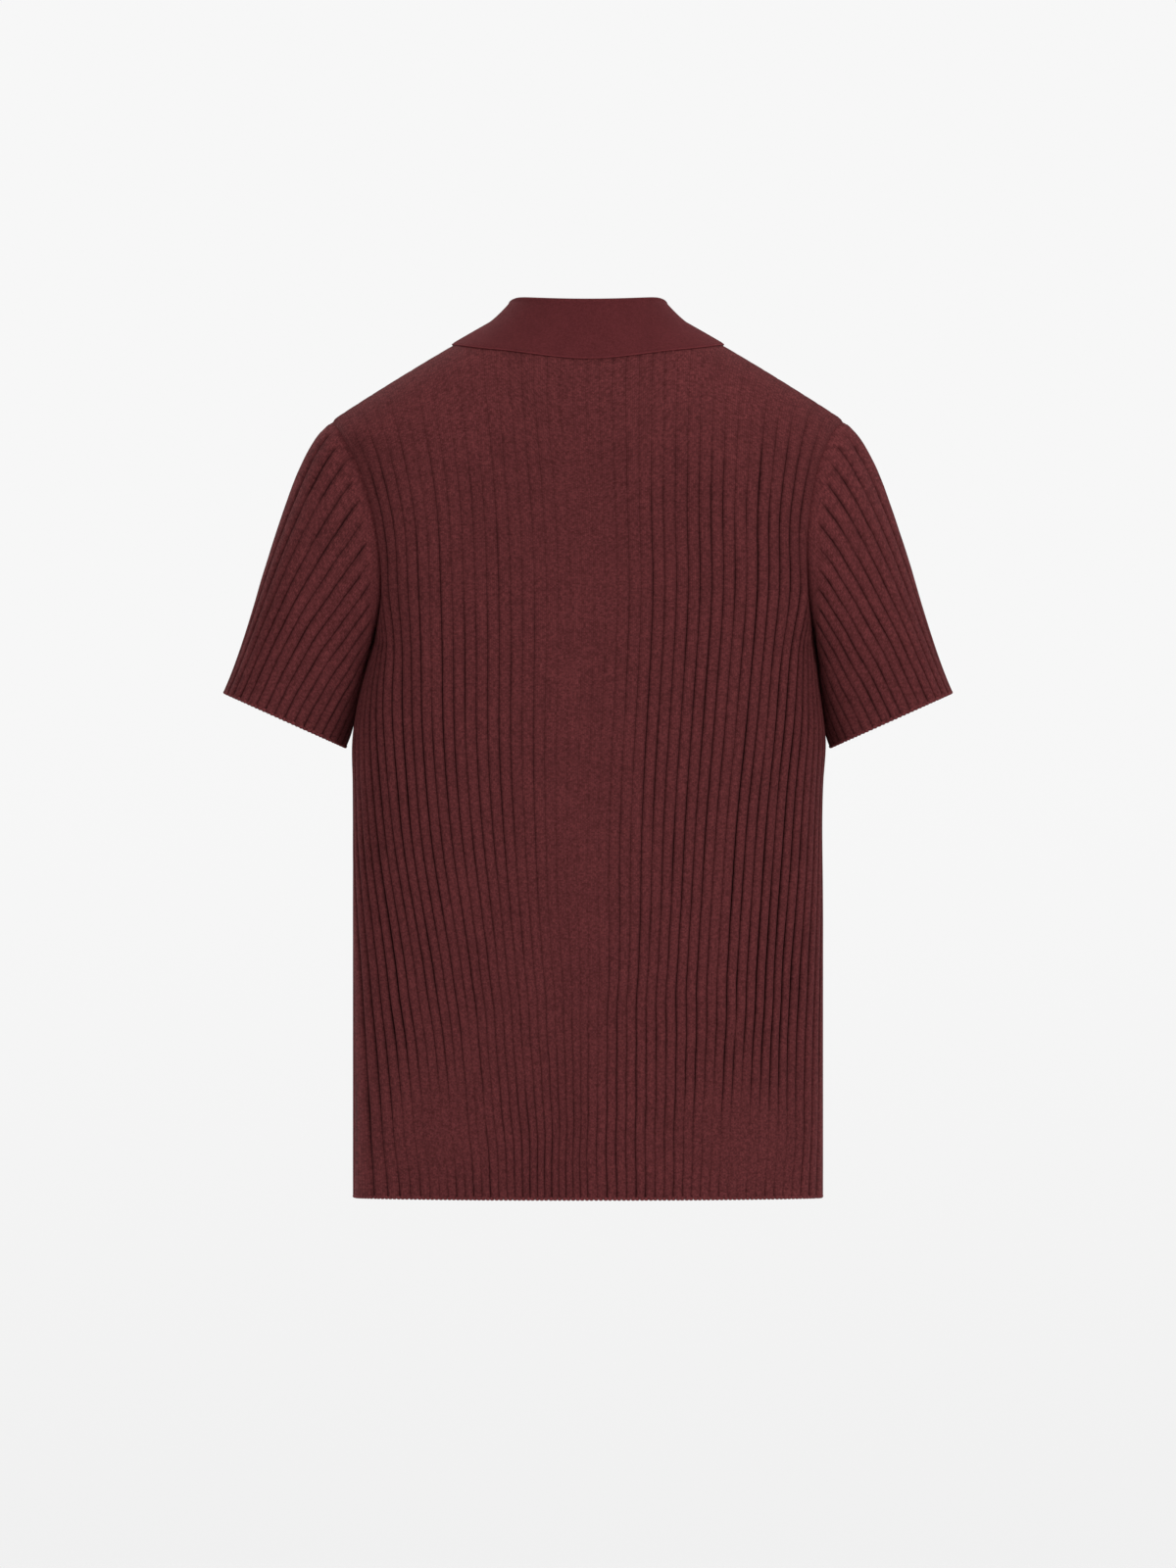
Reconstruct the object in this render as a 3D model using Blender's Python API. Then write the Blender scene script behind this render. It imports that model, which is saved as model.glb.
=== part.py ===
"""A short-sleeved polo shirt in ribbed knit, filled out on a general figure with nobody in it.

Metres, +Z up. The front of the shirt faces -Y, so its wearer's left is +X. The origin is at the base of the
neck, at the height where the shoulders leave the collar. Each cut piece is one object: a ribbed outer face
over a plain inner face. Every piece is a loft: a skin function gives the cloth's surface from two numbers
between 0 and 1, across and along the ribs, and closed_wall makes that skin a closed wall.
"""

import math

import bmesh
import bpy
import numpy as np

# The cloth
WALL = 0.0012
RIB_HEIGHT = 0.0013
RIB_EDGES = (0.2, 0.8)  # where a rib's flat top starts and ends, as shares of the pitch
SEAM_GAP = 0.0007

# The ribs: those that run up between the armholes, and those on each side that end under the arm
BACK, FRONT = 1, -1
LEFT, RIGHT = 1, -1
MIDDLE_RIBS = {BACK: 38, FRONT: 40}
SIDE_RIBS = 7
SLEEVE_RIBS = 36

# The body, with half widths to each side, half depths to the back and the front, and how square its
# section is: 2 is an ellipse
HEM_HEIGHT = -0.663
SIDE_HEIGHT = -0.376  # the last level row, below which the armholes don't draw the ribs
UNDERARM_HEIGHT = -0.235
TORSO = {
    "height": (HEM_HEIGHT, -0.560, -0.450, -0.340, -0.310, -0.270, UNDERARM_HEIGHT, -0.150, 0.0),
    "left": (0.1822, 0.1822, 0.1822, 0.1822, 0.1825, 0.1770, 0.1690, 0.1690, 0.1690),
    "right": (0.1822, 0.1822, 0.1822, 0.1822, 0.1840, 0.1800, 0.1770, 0.1770, 0.1770),
    "back": (0.084, 0.081, 0.080, 0.083, 0.084, 0.085, 0.086, 0.087, 0.087),
    "front": (0.092, 0.090, 0.090, 0.094, 0.096, 0.099, 0.101, 0.103, 0.103),
    "square": (2.0, 2.0, 2.05, 2.25, 2.35, 2.5, 2.6, 2.7, 2.7),
}
BODY_ROWS = (0.0, 0.36, 0.70)  # as shares of the way from the hem to SIDE_HEIGHT
SIDE_ROWS = (0.0, 0.25, 0.5, 0.75, 1.0)  # from there to the armhole's corner
ARM_ROWS = (0.16, 0.33, 0.49, 0.64, 0.78, 0.90, 1.0)  # and on to the top edge

# The armhole in side view is an egg. Its turn runs from the underarm at -90 to the shoulder point at 90,
# by way of the corner where the ribs stop ending on it and start to follow it.
SHOULDER_HALF_WIDTH = 0.2005
CORNER_TURN = -30.0
ARMHOLE_DEPTH = {BACK: 0.050, FRONT: 0.052}
ARMHOLE = {
    "turn": (-90, -60, -30, 0, 30, 60, 90),
    "left": (0.1690, 0.1655, 0.1610, 0.1640, 0.1750, 0.1910, SHOULDER_HALF_WIDTH),
    "right": (0.1770, 0.1755, 0.1715, 0.1705, 0.1770, 0.1885, SHOULDER_HALF_WIDTH),
}
ARMHOLE_LEAN = math.radians(37)  # how far the seam's own outward direction turns to the side

# The shoulder line, and how the cloth rounds over it
NECK_HALF_WIDTH = 0.072
NECK_DEPTH = {BACK: 0.062, FRONT: 0.075}
NECK_POINT_HEIGHT = 0.0172
SHOULDER_SLOPE = (0.56, 0.65)  # at the neck and at the shoulder point
ROUND_OVER = {BACK: (0.127, 0.062), FRONT: (0.135, 0.064)}  # its height at the centre and at the shoulder
V_HALF_WIDTH, V_HEIGHT = 0.042, -0.110
NECK_EASE = 0.08

# How far the ribs are drawn to the centre at the hem, as shares of the panel's width
RIB_DRIFT = {LEFT: 0.090, RIGHT: 0.032}

# The sleeves
CUFF_CENTRE = (0.2360, -0.014, -0.2914)
CUFF_HALF_WIDTH, CUFF_HALF_DEPTH = 0.0515, 0.043
CUFF_TILT = math.radians(24.2)
SLEEVE_CLEARANCE = 0.0034
SLEEVE_ROWS = (0.0, 0.10, 0.23, 0.38, 0.55, 0.76, 1.0)
SLEEVE_START = {
    "turn": (-90, -60, -30, 0, 45, 90),
    "slope": (20, 55, 76, 70, 54, 40),
    "pull": (0.35, 0.50, 0.60, 0.65, 0.66, 0.68),
}
SLEEVE_END_PULL = 0.95
SLEEVE_BULGE = 0.12

# The collar: a knitted strip folded over on itself
COLLAR_WALL = 0.0016
COLLAR_END_TURN = math.radians(-55)
COLLAR_STATIONS = 37
FOLD_HALF_WIDTH, FOLD_DEPTH = 0.0612, {BACK: 0.052, FRONT: 0.064}
FOLD_HEIGHT, FOLD_DROP = 0.0365, {BACK: 0.0027, FRONT: 0.0260}
FOLD_RADIUS = 0.0024
FALL_HALF_WIDTH, FALL_DEPTH = 0.1055, {BACK: 0.0713, FRONT: 0.1000}
FALL_STANDOFF = 0.0026
FALL_FLARE = (0.24, 0.62)  # how far out the fall's curve is pulled at the middle and at the sides,
FALL_FALL = (0.62, 0.71)  # and how far down, both as shares of its drop
STAND_STEPS, FOLD_STEPS, FALL_STEPS = 3, 5, 5

KNIT_COLOUR = (0.075, 0.017, 0.018, 1.0)
COLLAR_COLOUR = (0.085, 0.019, 0.022, 1.0)

STEP = 1e-4  # of a share, for slopes
NUDGE = 0.001  # in metres, for slopes


def named(table, name, at):
    """The table's column at any place, through a smooth curve along the table's first column."""
    places = np.asarray(next(iter(table.values())), float)
    values = np.asarray(table[name], float)
    slopes = np.gradient(values, places)
    at = np.clip(at, places[0], places[-1])
    i = np.clip(np.searchsorted(places, at, side="right") - 1, 0, len(places) - 2)
    span = places[i + 1] - places[i]
    t = (at - places[i]) / span
    rise = t * t * (3 - 2 * t)
    start = t * (1 - t) ** 2 * span * slopes[i]
    end = t * t * (t - 1) * span * slopes[i + 1]
    return values[i] + (values[i + 1] - values[i]) * rise + start + end


def side_name(side):
    return "left" if side == LEFT else "right"


def face_name(face):
    return "back" if face == BACK else "front"


def unit(vectors):
    return vectors / np.linalg.norm(vectors, axis=-1, keepdims=True)


def ridge_height(x):
    """The height of the shoulder line at x, carried on as a low arch across the neck."""
    x = np.abs(x)
    beyond = np.maximum(x - NECK_HALF_WIDTH, 0)
    run = SHOULDER_HALF_WIDTH - NECK_HALF_WIDTH
    near, far = SHOULDER_SLOPE
    fallen = near * beyond + (far - near) * beyond**2 / (2 * run)
    arch = near * NECK_HALF_WIDTH / 2 * (1 - (np.minimum(x, NECK_HALF_WIDTH) / NECK_HALF_WIDTH) ** 2)
    return NECK_POINT_HEIGHT - fallen + arch


def round_over(face, x):
    centre, shoulder = ROUND_OVER[face]
    return shoulder + (centre - shoulder) * np.clip(1 - (np.abs(x) / SHOULDER_HALF_WIDTH) ** 2, 0, 1)


def rounded(face, x, z):
    """The share of its full depth that the cloth has at this place, less as it rounds over the shoulder."""
    below = np.clip((ridge_height(x) - z) / round_over(face, x), 0, 1)
    return np.sqrt(1 - (1 - below) ** 2)


def egg_middle():
    top = ridge_height(SHOULDER_HALF_WIDTH)
    return (top + UNDERARM_HEIGHT) / 2, (top - UNDERARM_HEIGHT) / 2


def armhole_edge(face, side, turn):
    """The armhole's seam line at a turn in degrees: half width, half depth and height."""
    middle, half = egg_middle()
    angle = np.radians(turn)
    x = named(ARMHOLE, side_name(side), turn)
    return x, ARMHOLE_DEPTH[face] * np.cos(angle), middle + half * np.sin(angle)


def armhole_line(face, side, turn):
    x, y, z = armhole_edge(face, side, turn)
    return np.stack([side * x, face * y, z], axis=-1)


def armhole_outward(face, side, turn):
    """The seam's own outward direction, which the panel and the sleeve share."""
    y, z = np.cos(np.radians(turn)), np.sin(np.radians(turn))
    lean = math.tan(ARMHOLE_LEAN)
    return unit(np.stack([np.full_like(y, side * lean), face * y, z], axis=-1))


def length_along(points):
    return np.concatenate([[0], np.cumsum(np.linalg.norm(np.diff(points, axis=0), axis=1))])


def even_turns(face, side, first, last, shares):
    """Turns at even shares of the seam's length between two turns."""
    turns = np.linspace(first, last, 61)
    run = length_along(armhole_line(face, side, turns))
    return np.interp(np.asarray(shares) * run[-1], run, turns)


def panel_turns(face, side):
    """The turns where the panel's edge has its points, from the underarm to the shoulder."""
    under = even_turns(face, side, -90, CORNER_TURN, columns(SIDE_RIBS)[0])
    along = CORNER_TURN + (90 - CORNER_TURN) * np.array(ARM_ROWS)
    return np.concatenate([under, along])


def armhole_seam(face, side, share):
    """Points, outward directions and turns at shares of the seam's length, along the panel's own straight
    steps, so that the sleeve meets the panel's edge all the way."""
    turns = panel_turns(face, side)
    points, directions = armhole_line(face, side, turns), armhole_outward(face, side, turns)
    run = length_along(points)
    found = [np.interp(share * run[-1], run, values) for values in (*points.T, *directions.T, turns)]
    return np.stack(found[:3], axis=-1), unit(np.stack(found[3:6], axis=-1)), found[6]


def half_width(face, side, z):
    """The half width that the body's section would have at this height if the armhole didn't cut it."""
    middle, half = egg_middle()
    turn = np.degrees(np.arcsin(np.clip((z - middle) / half, -1, 0.985)))
    x, y, height = armhole_edge(face, side, turn)
    square = named(TORSO, "square", height)
    full = named(TORSO, face_name(face), height) * np.maximum(rounded(face, x, height), 1e-6)
    cut = x * (1 - np.minimum(y / full, 0.7) ** square) ** (-1 / square)
    return np.where(z > UNDERARM_HEIGHT, cut, named(TORSO, side_name(side), z))


def either_side(across, left, right):
    return np.where(across >= 0, left, right)


def body_depth(face, x, z):
    """How far the cloth lies from the middle at x and z."""
    width = either_side(x, half_width(face, LEFT, z), half_width(face, RIGHT, z))
    square = named(TORSO, "square", z)
    share = np.clip(np.abs(x) / width, 0, 1)
    return named(TORSO, face_name(face), z) * (1 - share**square) ** (1 / square) * rounded(face, x, z)


def body_point(face, x, z):
    return np.stack([x, face * body_depth(face, x, z), z], axis=-1)


def shoulder_height(face, x, y):
    """The height of the cloth over a place in plan, y from the middle."""
    top = TORSO["height"][-1]
    square = TORSO["square"][-1]
    share = np.minimum(np.abs(x) / half_width(face, LEFT, np.full_like(x, top)), 1)
    full = TORSO[face_name(face)][-1] * np.maximum(1 - share**square, 1e-6) ** (1 / square)
    return ridge_height(x) - round_over(face, x) * (1 - np.sqrt(1 - np.minimum(np.abs(y) / full, 1) ** 2))


def neck_height(face, x):
    """The height of the neckline at x, inside the neck's half width."""
    reach = V_HALF_WIDTH if face == FRONT else 0.0
    at = np.maximum(np.abs(x), reach)
    out = NECK_DEPTH[face] * np.sqrt(np.clip(1 - (at / NECK_HALF_WIDTH) ** 2, 0, 1))
    height = shoulder_height(face, at, out)
    if face == FRONT:
        slope = (height - V_HEIGHT) / reach
        height = np.where(np.abs(x) < reach, V_HEIGHT + slope * np.abs(x), height)
    return height


def climb_length(face, x):
    """The length of the cloth from the height of the armholes' corners to the piece's top edge at x."""
    start = armhole_edge(face, LEFT, CORNER_TURN)[2]
    ridge, radius = ridge_height(x), round_over(face, x)
    cut = np.where(np.abs(x) < NECK_HALF_WIDTH, neck_height(face, x), ridge)
    cut_turn = np.arccos(np.clip(1 - (ridge - cut) / radius, 0, 1))
    return np.minimum(ridge - radius, cut) - start + arch_radius(face, x) * (np.pi / 2 - cut_turn)


def arch_radius(face, x):
    return (round_over(face, x) + TORSO[face_name(face)][-1] * 0.9) / 2


def climbed_height(face, x, level):
    """The height at a share of the way up that length. Low down, a row takes the mean length of the cloth
    around x, so that the neckline's corners don't crease it."""
    start = armhole_edge(face, LEFT, CORNER_TURN)[2]
    reach = NECK_EASE * (1 - level)
    climbed = level * np.mean([climb_length(face, x + reach * step) for step in np.linspace(-1, 1, 7)], axis=0)
    ridge, radius = ridge_height(x), round_over(face, x)
    straight = ridge - radius - start
    turn = np.pi / 2 - np.maximum(climbed - straight, 0) / arch_radius(face, x)
    return np.where(climbed < straight, start + climbed, ridge - radius * (1 - np.cos(turn)))


DENSE = np.sin(np.linspace(-np.pi / 2, np.pi / 2, 241))


def spread_evenly(line, places, shares):
    """The places where these shares of the line's length in plan are reached."""
    run = length_along(line)
    return np.interp(shares * run[-1], run, places)


def drift(u, level):
    """How far a rib is drawn to the centre, for u from 0 at the right edge to 1 at the left, and for level
    from 0 at the hem to 1 where the drift starts."""
    side = np.clip(2 * u - 1, -1, 1)
    most = np.where(side > 0, RIB_DRIFT[LEFT], RIB_DRIFT[RIGHT])
    return -2 * most * side * (1 - np.abs(side)) ** 0.3 * (1 - level) ** 1.2 * (1 + 0.9 * level)


def level_row(face, z, shares):
    """Shares of the section's half width where ribs spread evenly along it stand."""
    width = either_side(DENSE, half_width(face, LEFT, z), half_width(face, RIGHT, z))
    line = body_point(face, DENSE * width, np.full_like(DENSE, z))
    return spread_evenly(line, DENSE, shares)


def body_skin(face):
    """The body from the hem up to the armholes' corners. u runs across the ribs from the right side seam to
    the left, and level from 0 at the hem to 1 at SIDE_HEIGHT and 2 at the corners."""
    ribs = MIDDLE_RIBS[face] + 2 * SIDE_RIBS
    edge = SIDE_RIBS / ribs

    def corner_row(u):
        found = np.empty((len(u), 2))
        for side, outer in ((RIGHT, u < edge), (LEFT, u > 1 - edge)):
            share = np.clip((u if side == RIGHT else 1 - u) / edge, 0, 1)
            turns = even_turns(face, side, -90, CORNER_TURN, share)
            x, _, z = armhole_edge(face, side, turns)
            found[outer] = np.stack([side * x / half_width(face, side, z), z], axis=-1)[outer]
        middle = (u >= edge) & (u <= 1 - edge)
        line = arm_skin(face)((u[middle] - edge) / (1 - 2 * edge), 0.0)
        width = either_side(line[:, 0], half_width(face, LEFT, line[:, 2]), half_width(face, RIGHT, line[:, 2]))
        found[middle] = np.stack([line[:, 0] / width, line[:, 2]], axis=-1)
        return found.T

    def skin(u, level):
        low = min(level, 1)
        z = HEM_HEIGHT + low * (SIDE_HEIGHT - HEM_HEIGHT)
        across = level_row(face, z, u + (drift(u, low) if face == BACK else 0))
        z = np.full_like(across, z)
        if level > 1:
            corner_across, corner_z = corner_row(u)
            up = level - 1
            across = across + up * up * (3 - 2 * up) * (corner_across - across)
            z = z + up * (corner_z - z)
        width = either_side(across, half_width(face, LEFT, z), half_width(face, RIGHT, z))
        return body_point(face, across * width, z)

    return skin


def arm_skin(face):
    """The body between the armholes, from their corners to the top edge, as level runs from 0 to 1."""

    def row(across, level):
        turn = CORNER_TURN + (90 - CORNER_TURN) * level
        edges = [armhole_edge(face, side, turn) for side in (LEFT, RIGHT)]
        inside = climbed_height(face, across * SHOULDER_HALF_WIDTH, level)
        at_edge = climbed_height(face, np.array([SHOULDER_HALF_WIDTH]), level)[0]
        z = inside + np.abs(across) ** 6 * (edges[0][2] - at_edge)
        return body_point(face, across * either_side(across, edges[0][0], edges[1][0]), z)

    def skin(u, level):
        line = row(DENSE, level)[:, :2] * (1, 1 - level**2)
        return row(spread_evenly(line, DENSE, u), level)

    return skin


def cuff_point(side, face, turn):
    """The cuff's rim. turn runs from 0 at the inner seam to pi at the outer edge, over the back or front."""
    x, y, z = CUFF_CENTRE
    along = -CUFF_HALF_WIDTH * np.cos(turn)
    across = face * CUFF_HALF_DEPTH * np.sin(turn)
    return np.stack(
        [side * (x + along * math.cos(CUFF_TILT)), y + across, z + along * math.sin(CUFF_TILT)], axis=-1
    )


def clear_of_body(points, side, clearance):
    """The points, moved sideways where they would come closer than this to the body's side."""
    x, y, z = side * points[..., 0], points[..., 1], points[..., 2]
    width = named(TORSO, side_name(side), z)
    depth = np.where(y > 0, named(TORSO, "back", z), named(TORSO, "front", z))
    square = named(TORSO, "square", z)
    surface = width * (1 - np.clip(np.abs(y) / depth, 0, 1) ** square) ** (1 / square) + clearance
    low = z < UNDERARM_HEIGHT + 0.002
    moved = points.copy()
    moved[..., 0] = side * np.where(low, np.maximum(x, surface), x)
    return moved


def sleeve_skin(side):
    """u runs round the sleeve from the underarm over the back, the shoulder and the front, and level from
    0 at the armhole to 1 at the cuff."""
    axis = np.array([side * math.sin(CUFF_TILT), 0, -math.cos(CUFF_TILT)])
    dense = np.linspace(0, np.pi, 121)

    def half(face, share, level):
        start, _, turn = armhole_seam(face, side, share)
        end = cuff_point(side, face, spread_evenly(cuff_point(side, face, dense), dense, share))
        slope = np.radians(named(SLEEVE_START, "slope", turn))
        bulge = SLEEVE_BULGE * face * np.cos(np.radians(turn))
        leave = unit(np.stack([side * np.cos(slope), bulge, -np.sin(slope)], axis=-1))
        pull = named(SLEEVE_START, "pull", turn)[:, None] * np.linalg.norm(end - start, axis=-1, keepdims=True)
        drop = SLEEVE_END_PULL * np.linalg.norm(end - start, axis=-1, keepdims=True)
        s = level
        point = start * (1 + 2 * s) * (1 - s) ** 2 + end * s * s * (3 - 2 * s)
        point += pull * leave * s * (1 - s) ** 2 + drop * axis * s * s * (s - 1)
        return clear_of_body(point, side, SLEEVE_CLEARANCE * min(1.0, s / 0.1))

    def skin(u, level):
        over_back = half(BACK, np.clip(2 * u, 0, 1), level)
        over_front = half(FRONT, np.clip(2 - 2 * u, 0, 1), level)
        return np.where(u[:, None] <= 0.5, over_back, over_front)

    return skin


def outward(skin, u, level, low, high, flip):
    """The skin's outward direction, from its slopes across and along the ribs."""
    ahead, behind = np.minimum(u + STEP, 1), np.maximum(u - STEP, 0)
    up, down = min(level + STEP, high), max(level - STEP, low)
    across = skin(ahead, level) - skin(behind, level)
    along = skin(u, up) - skin(u, down)
    return flip * unit(np.cross(across, along))


def columns(ribs):
    """The shares of the width where the outer face has a column, three to a rib, and their heights."""
    marks = [(rib + edge, height) for rib in range(ribs) for edge, height in zip((0, *RIB_EDGES), (0, 1, 1))]
    marks.append((ribs, 0))
    shares, heights = np.array(marks).T
    return shares / ribs, heights * RIB_HEIGHT


def new_object(name, points, faces, material):
    mesh = bpy.data.meshes.new(name)
    mesh.from_pydata(np.asarray(points).tolist(), [], faces)
    work = bmesh.new()
    work.from_mesh(mesh)
    bmesh.ops.delete(work, geom=[vert for vert in work.verts if not vert.link_faces], context="VERTS")
    bmesh.ops.triangulate(work, faces=work.faces)
    bmesh.ops.recalc_face_normals(work, faces=work.faces)
    work.to_mesh(mesh)
    work.free()
    mesh.materials.append(material)
    mesh.shade_smooth()
    mesh.set_sharp_from_angle(angle=math.radians(35))
    obj = bpy.data.objects.new(name, mesh)
    bpy.data.collections[COLLECTION].objects.link(obj)
    return obj


def closed_wall(name, outer, inner, step, present, material, ring=False):
    """A wall between two grids of points, over the cells that are present. The outer grid has step columns
    for each one of the inner grid."""
    rows, cells = present.shape
    wide, narrow = outer.shape[1], inner.shape[1]
    points = np.concatenate([outer.reshape(-1, 3), inner.reshape(-1, 3)])

    def out(row, column):
        return row * wide + column % wide

    def into(row, column):
        return outer.shape[0] * wide + row * narrow + column % narrow

    def there(row, cell):
        inside = 0 <= row < rows and (ring or 0 <= cell < cells)
        return inside and present[row, cell % cells]

    faces = []
    for row, cell in zip(*np.nonzero(present)):
        for column in range(cell * step, (cell + 1) * step):
            faces.append(
                (out(row, column), out(row, column + 1), out(row + 1, column + 1), out(row + 1, column))
            )
        faces.append((into(row, cell), into(row + 1, cell), into(row + 1, cell + 1), into(row, cell + 1)))
        for side, edge in ((-1, cell), (1, cell + 1)):
            if not there(row, cell + side):
                column = edge * step
                faces.append((out(row, column), into(row, edge), into(row + 1, edge), out(row + 1, column)))
        for side, edge in ((-1, row), (1, row + 1)):
            if not there(row + side, cell):
                rim = [out(edge, cell * step + k) for k in range(step + 1)]
                faces += [(into(edge, cell), rim[k], rim[k + 1]) for k in range(step - 1)]
                faces.append((into(edge, cell), rim[-2], rim[-1], into(edge, cell + 1)))
    return new_object(name, points, faces, material)


def ribbed_row(base, normal, heights):
    """One row of a ribbed wall: its outer points, and its inner ones at the grooves."""
    return base + normal * heights[:, None], (base - normal * WALL)[::3]


def make_panel(name, face, material):
    middle, ribs = MIDDLE_RIBS[face], MIDDLE_RIBS[face] + 2 * SIDE_RIBS
    shares, heights = columns(ribs)
    arm_shares = columns(middle)[0]
    first, last = 3 * SIDE_RIBS, 3 * (SIDE_RIBS + middle)
    skin, arms = body_skin(face), arm_skin(face)
    rows = []
    for level in (*BODY_ROWS, *(1 + share for share in SIDE_ROWS)):
        base = skin(shares, level)
        normal = outward(skin, shares, level, 0, 2, -face)
        tall = heights.copy()
        if level == 2:
            for side, outer in ((RIGHT, slice(None, first + 1)), (LEFT, slice(last, None))):
                along = columns(SIDE_RIBS)[0]
                turns = even_turns(face, side, -90, CORNER_TURN, along if side == RIGHT else along[::-1])
                normal[outer] = armhole_outward(face, side, turns)
                tall[outer] = 0
        rows.append((base, normal, tall))
    for level in ARM_ROWS:
        base, normal = rows[-1][0].copy(), rows[-1][1].copy()
        base[first : last + 1] = arms(arm_shares, level)
        normal[first : last + 1] = outward(arms, arm_shares, level, 0, 1, -face)
        turn = CORNER_TURN + (90 - CORNER_TURN) * level
        for side, column in ((RIGHT, first), (LEFT, last)):
            normal[column] = armhole_outward(face, side, np.array([turn]))[0]
        rows.append((base, normal, heights))
    outer, inner = (np.array(grid) for grid in zip(*(ribbed_row(*row) for row in rows)))
    present = np.ones((len(rows) - 1, ribs), bool)
    present[-len(ARM_ROWS) :, :SIDE_RIBS] = False
    present[-len(ARM_ROWS) :, -SIDE_RIBS:] = False
    for grid, step in ((outer, 3), (inner, 1)):
        pull_back(grid, SIDE_RIBS * step, len(ARM_ROWS))
    return closed_wall(name, outer, inner, 3, present, material)


def pull_back(grid, beside, arm_rows):
    """Moves a panel's edges inwards along the cloth, to leave half the gap at each seam."""
    half = SEAM_GAP / 2
    corner = len(grid) - 1 - arm_rows
    moved = grid.copy()
    for edge, inside, low, high in (
        (0, 1, 0, corner),
        (-1, -2, 0, corner),
        (beside, beside + 1, corner, len(grid) - 1),
        (-1 - beside, -2 - beside, corner, len(grid) - 1),
    ):
        part = slice(low, high + 1)
        moved[part, edge] += half * unit(grid[part, inside] - grid[part, edge])
    middle = slice(beside, grid.shape[1] - beside)
    moved[-1, middle] += half * unit(grid[-2, middle] - grid[-1, middle])
    for outer in (slice(None, beside + 1), slice(-1 - beside, None)):
        moved[corner, outer] += half * unit(grid[corner - 1, outer] - grid[corner, outer])
    grid[:] = moved


def make_sleeve(name, side, material):
    skin = sleeve_skin(side)
    shares, heights = columns(SLEEVE_RIBS)
    rows = []
    for level in SLEEVE_ROWS:
        base = skin(shares, level)
        normal = outward(skin, shares, level, 0, 1, side)
        if level == 0:
            back = armhole_seam(BACK, side, np.clip(2 * shares, 0, 1))[1]
            front = armhole_seam(FRONT, side, np.clip(2 - 2 * shares, 0, 1))[1]
            normal = np.where(shares[:, None] <= 0.5, back, front)
        rows.append(ribbed_row(base, normal, heights * min(1.0, 20 * level)))
    outer, inner = (np.array(grid) for grid in zip(*rows))
    for grid in (outer, inner):
        grid[0] += SEAM_GAP / 2 * unit(grid[1] - grid[0])
    present = np.ones((len(rows) - 1, SLEEVE_RIBS), bool)
    return closed_wall(name, outer[:, :-1], inner[:, :-1], 3, present, material, ring=True)


def over_body(x, y, standoff):
    """A point this far off the cloth of the shoulders, above the place x, y in plan."""
    face = BACK if y > 0 else FRONT
    x_near, y_near = abs(x) + NUDGE, abs(y) + NUDGE
    height = float(shoulder_height(face, np.array(x), abs(y)))
    run = (float(shoulder_height(face, np.array(x_near), abs(y))) - height) / NUDGE
    rise = (float(shoulder_height(face, np.array(x), y_near)) - height) / NUDGE
    return np.array([x, y, height + standoff * math.sqrt(1 + run**2 + rise**2)])


def collar_strip():
    """The middle of the collar's cloth: stations round the neck from the front right end, over the back, to
    the front left end, and steps up the stand, over the fold and down the fall."""
    up = np.array([0.0, 0.0, 1.0])
    strip = []
    for turn in np.linspace(np.pi - COLLAR_END_TURN, COLLAR_END_TURN, COLLAR_STATIONS):
        x, y = math.cos(turn), math.sin(turn)
        face = BACK if y > 0 else FRONT
        foot = over_body(NECK_HALF_WIDTH * x, NECK_DEPTH[face] * y, 0.0)
        edge = over_body(FALL_HALF_WIDTH * x, FALL_DEPTH[face] * y, FALL_STANDOFF)
        top = np.array([FOLD_HALF_WIDTH * x, FOLD_DEPTH[face] * y, FOLD_HEIGHT - FOLD_DROP[face] * y * y])
        side = unit(np.array([x * FOLD_DEPTH[face], y * FOLD_HALF_WIDTH, 0.0]))
        centre = top - FOLD_RADIUS * (up + side)
        inner, outer = centre - FOLD_RADIUS * side, centre + FOLD_RADIUS * side
        foot += (SEAM_GAP + COLLAR_WALL / 4) * unit(inner - foot)
        row = [foot + (inner - foot) * k / STAND_STEPS for k in range(STAND_STEPS)]
        for bend in np.linspace(0, np.pi, FOLD_STEPS):
            row.append(centre - FOLD_RADIUS * math.cos(bend) * side + FOLD_RADIUS * math.sin(bend) * up)
        flare, fall = (middle + (sides - middle) * x * x for middle, sides in (FALL_FLARE, FALL_FALL))
        pull = outer + (side * flare - up * fall) * (outer[2] - edge[2])
        for t in np.linspace(0, 1, FALL_STEPS + 1)[1:]:
            point = outer * (1 - t) ** 2 + 2 * pull * t * (1 - t) + edge * t * t
            point[2] = max(point[2], over_body(point[0], point[1], FALL_STANDOFF)[2])
            row.append(point)
        strip.append(row)
    return np.array(strip)


def make_collar(material):
    strip = collar_strip()
    normal = unit(np.cross(np.gradient(strip, axis=1), np.gradient(strip, axis=0)))
    half = COLLAR_WALL / 2
    present = np.ones((strip.shape[0] - 1, strip.shape[1] - 1), bool)
    return closed_wall("collar", strip + half * normal, strip - half * normal, 1, present, material)


def new_material(name, colour):
    material = bpy.data.materials.new(name)
    material.use_nodes = True
    shader = material.node_tree.nodes["Principled BSDF"]
    shader.inputs["Base Color"].default_value = colour
    shader.inputs["Roughness"].default_value = 0.9
    shader.inputs["Metallic"].default_value = 0.0
    return material


COLLECTION = "Ribbed knit polo shirt"


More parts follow.
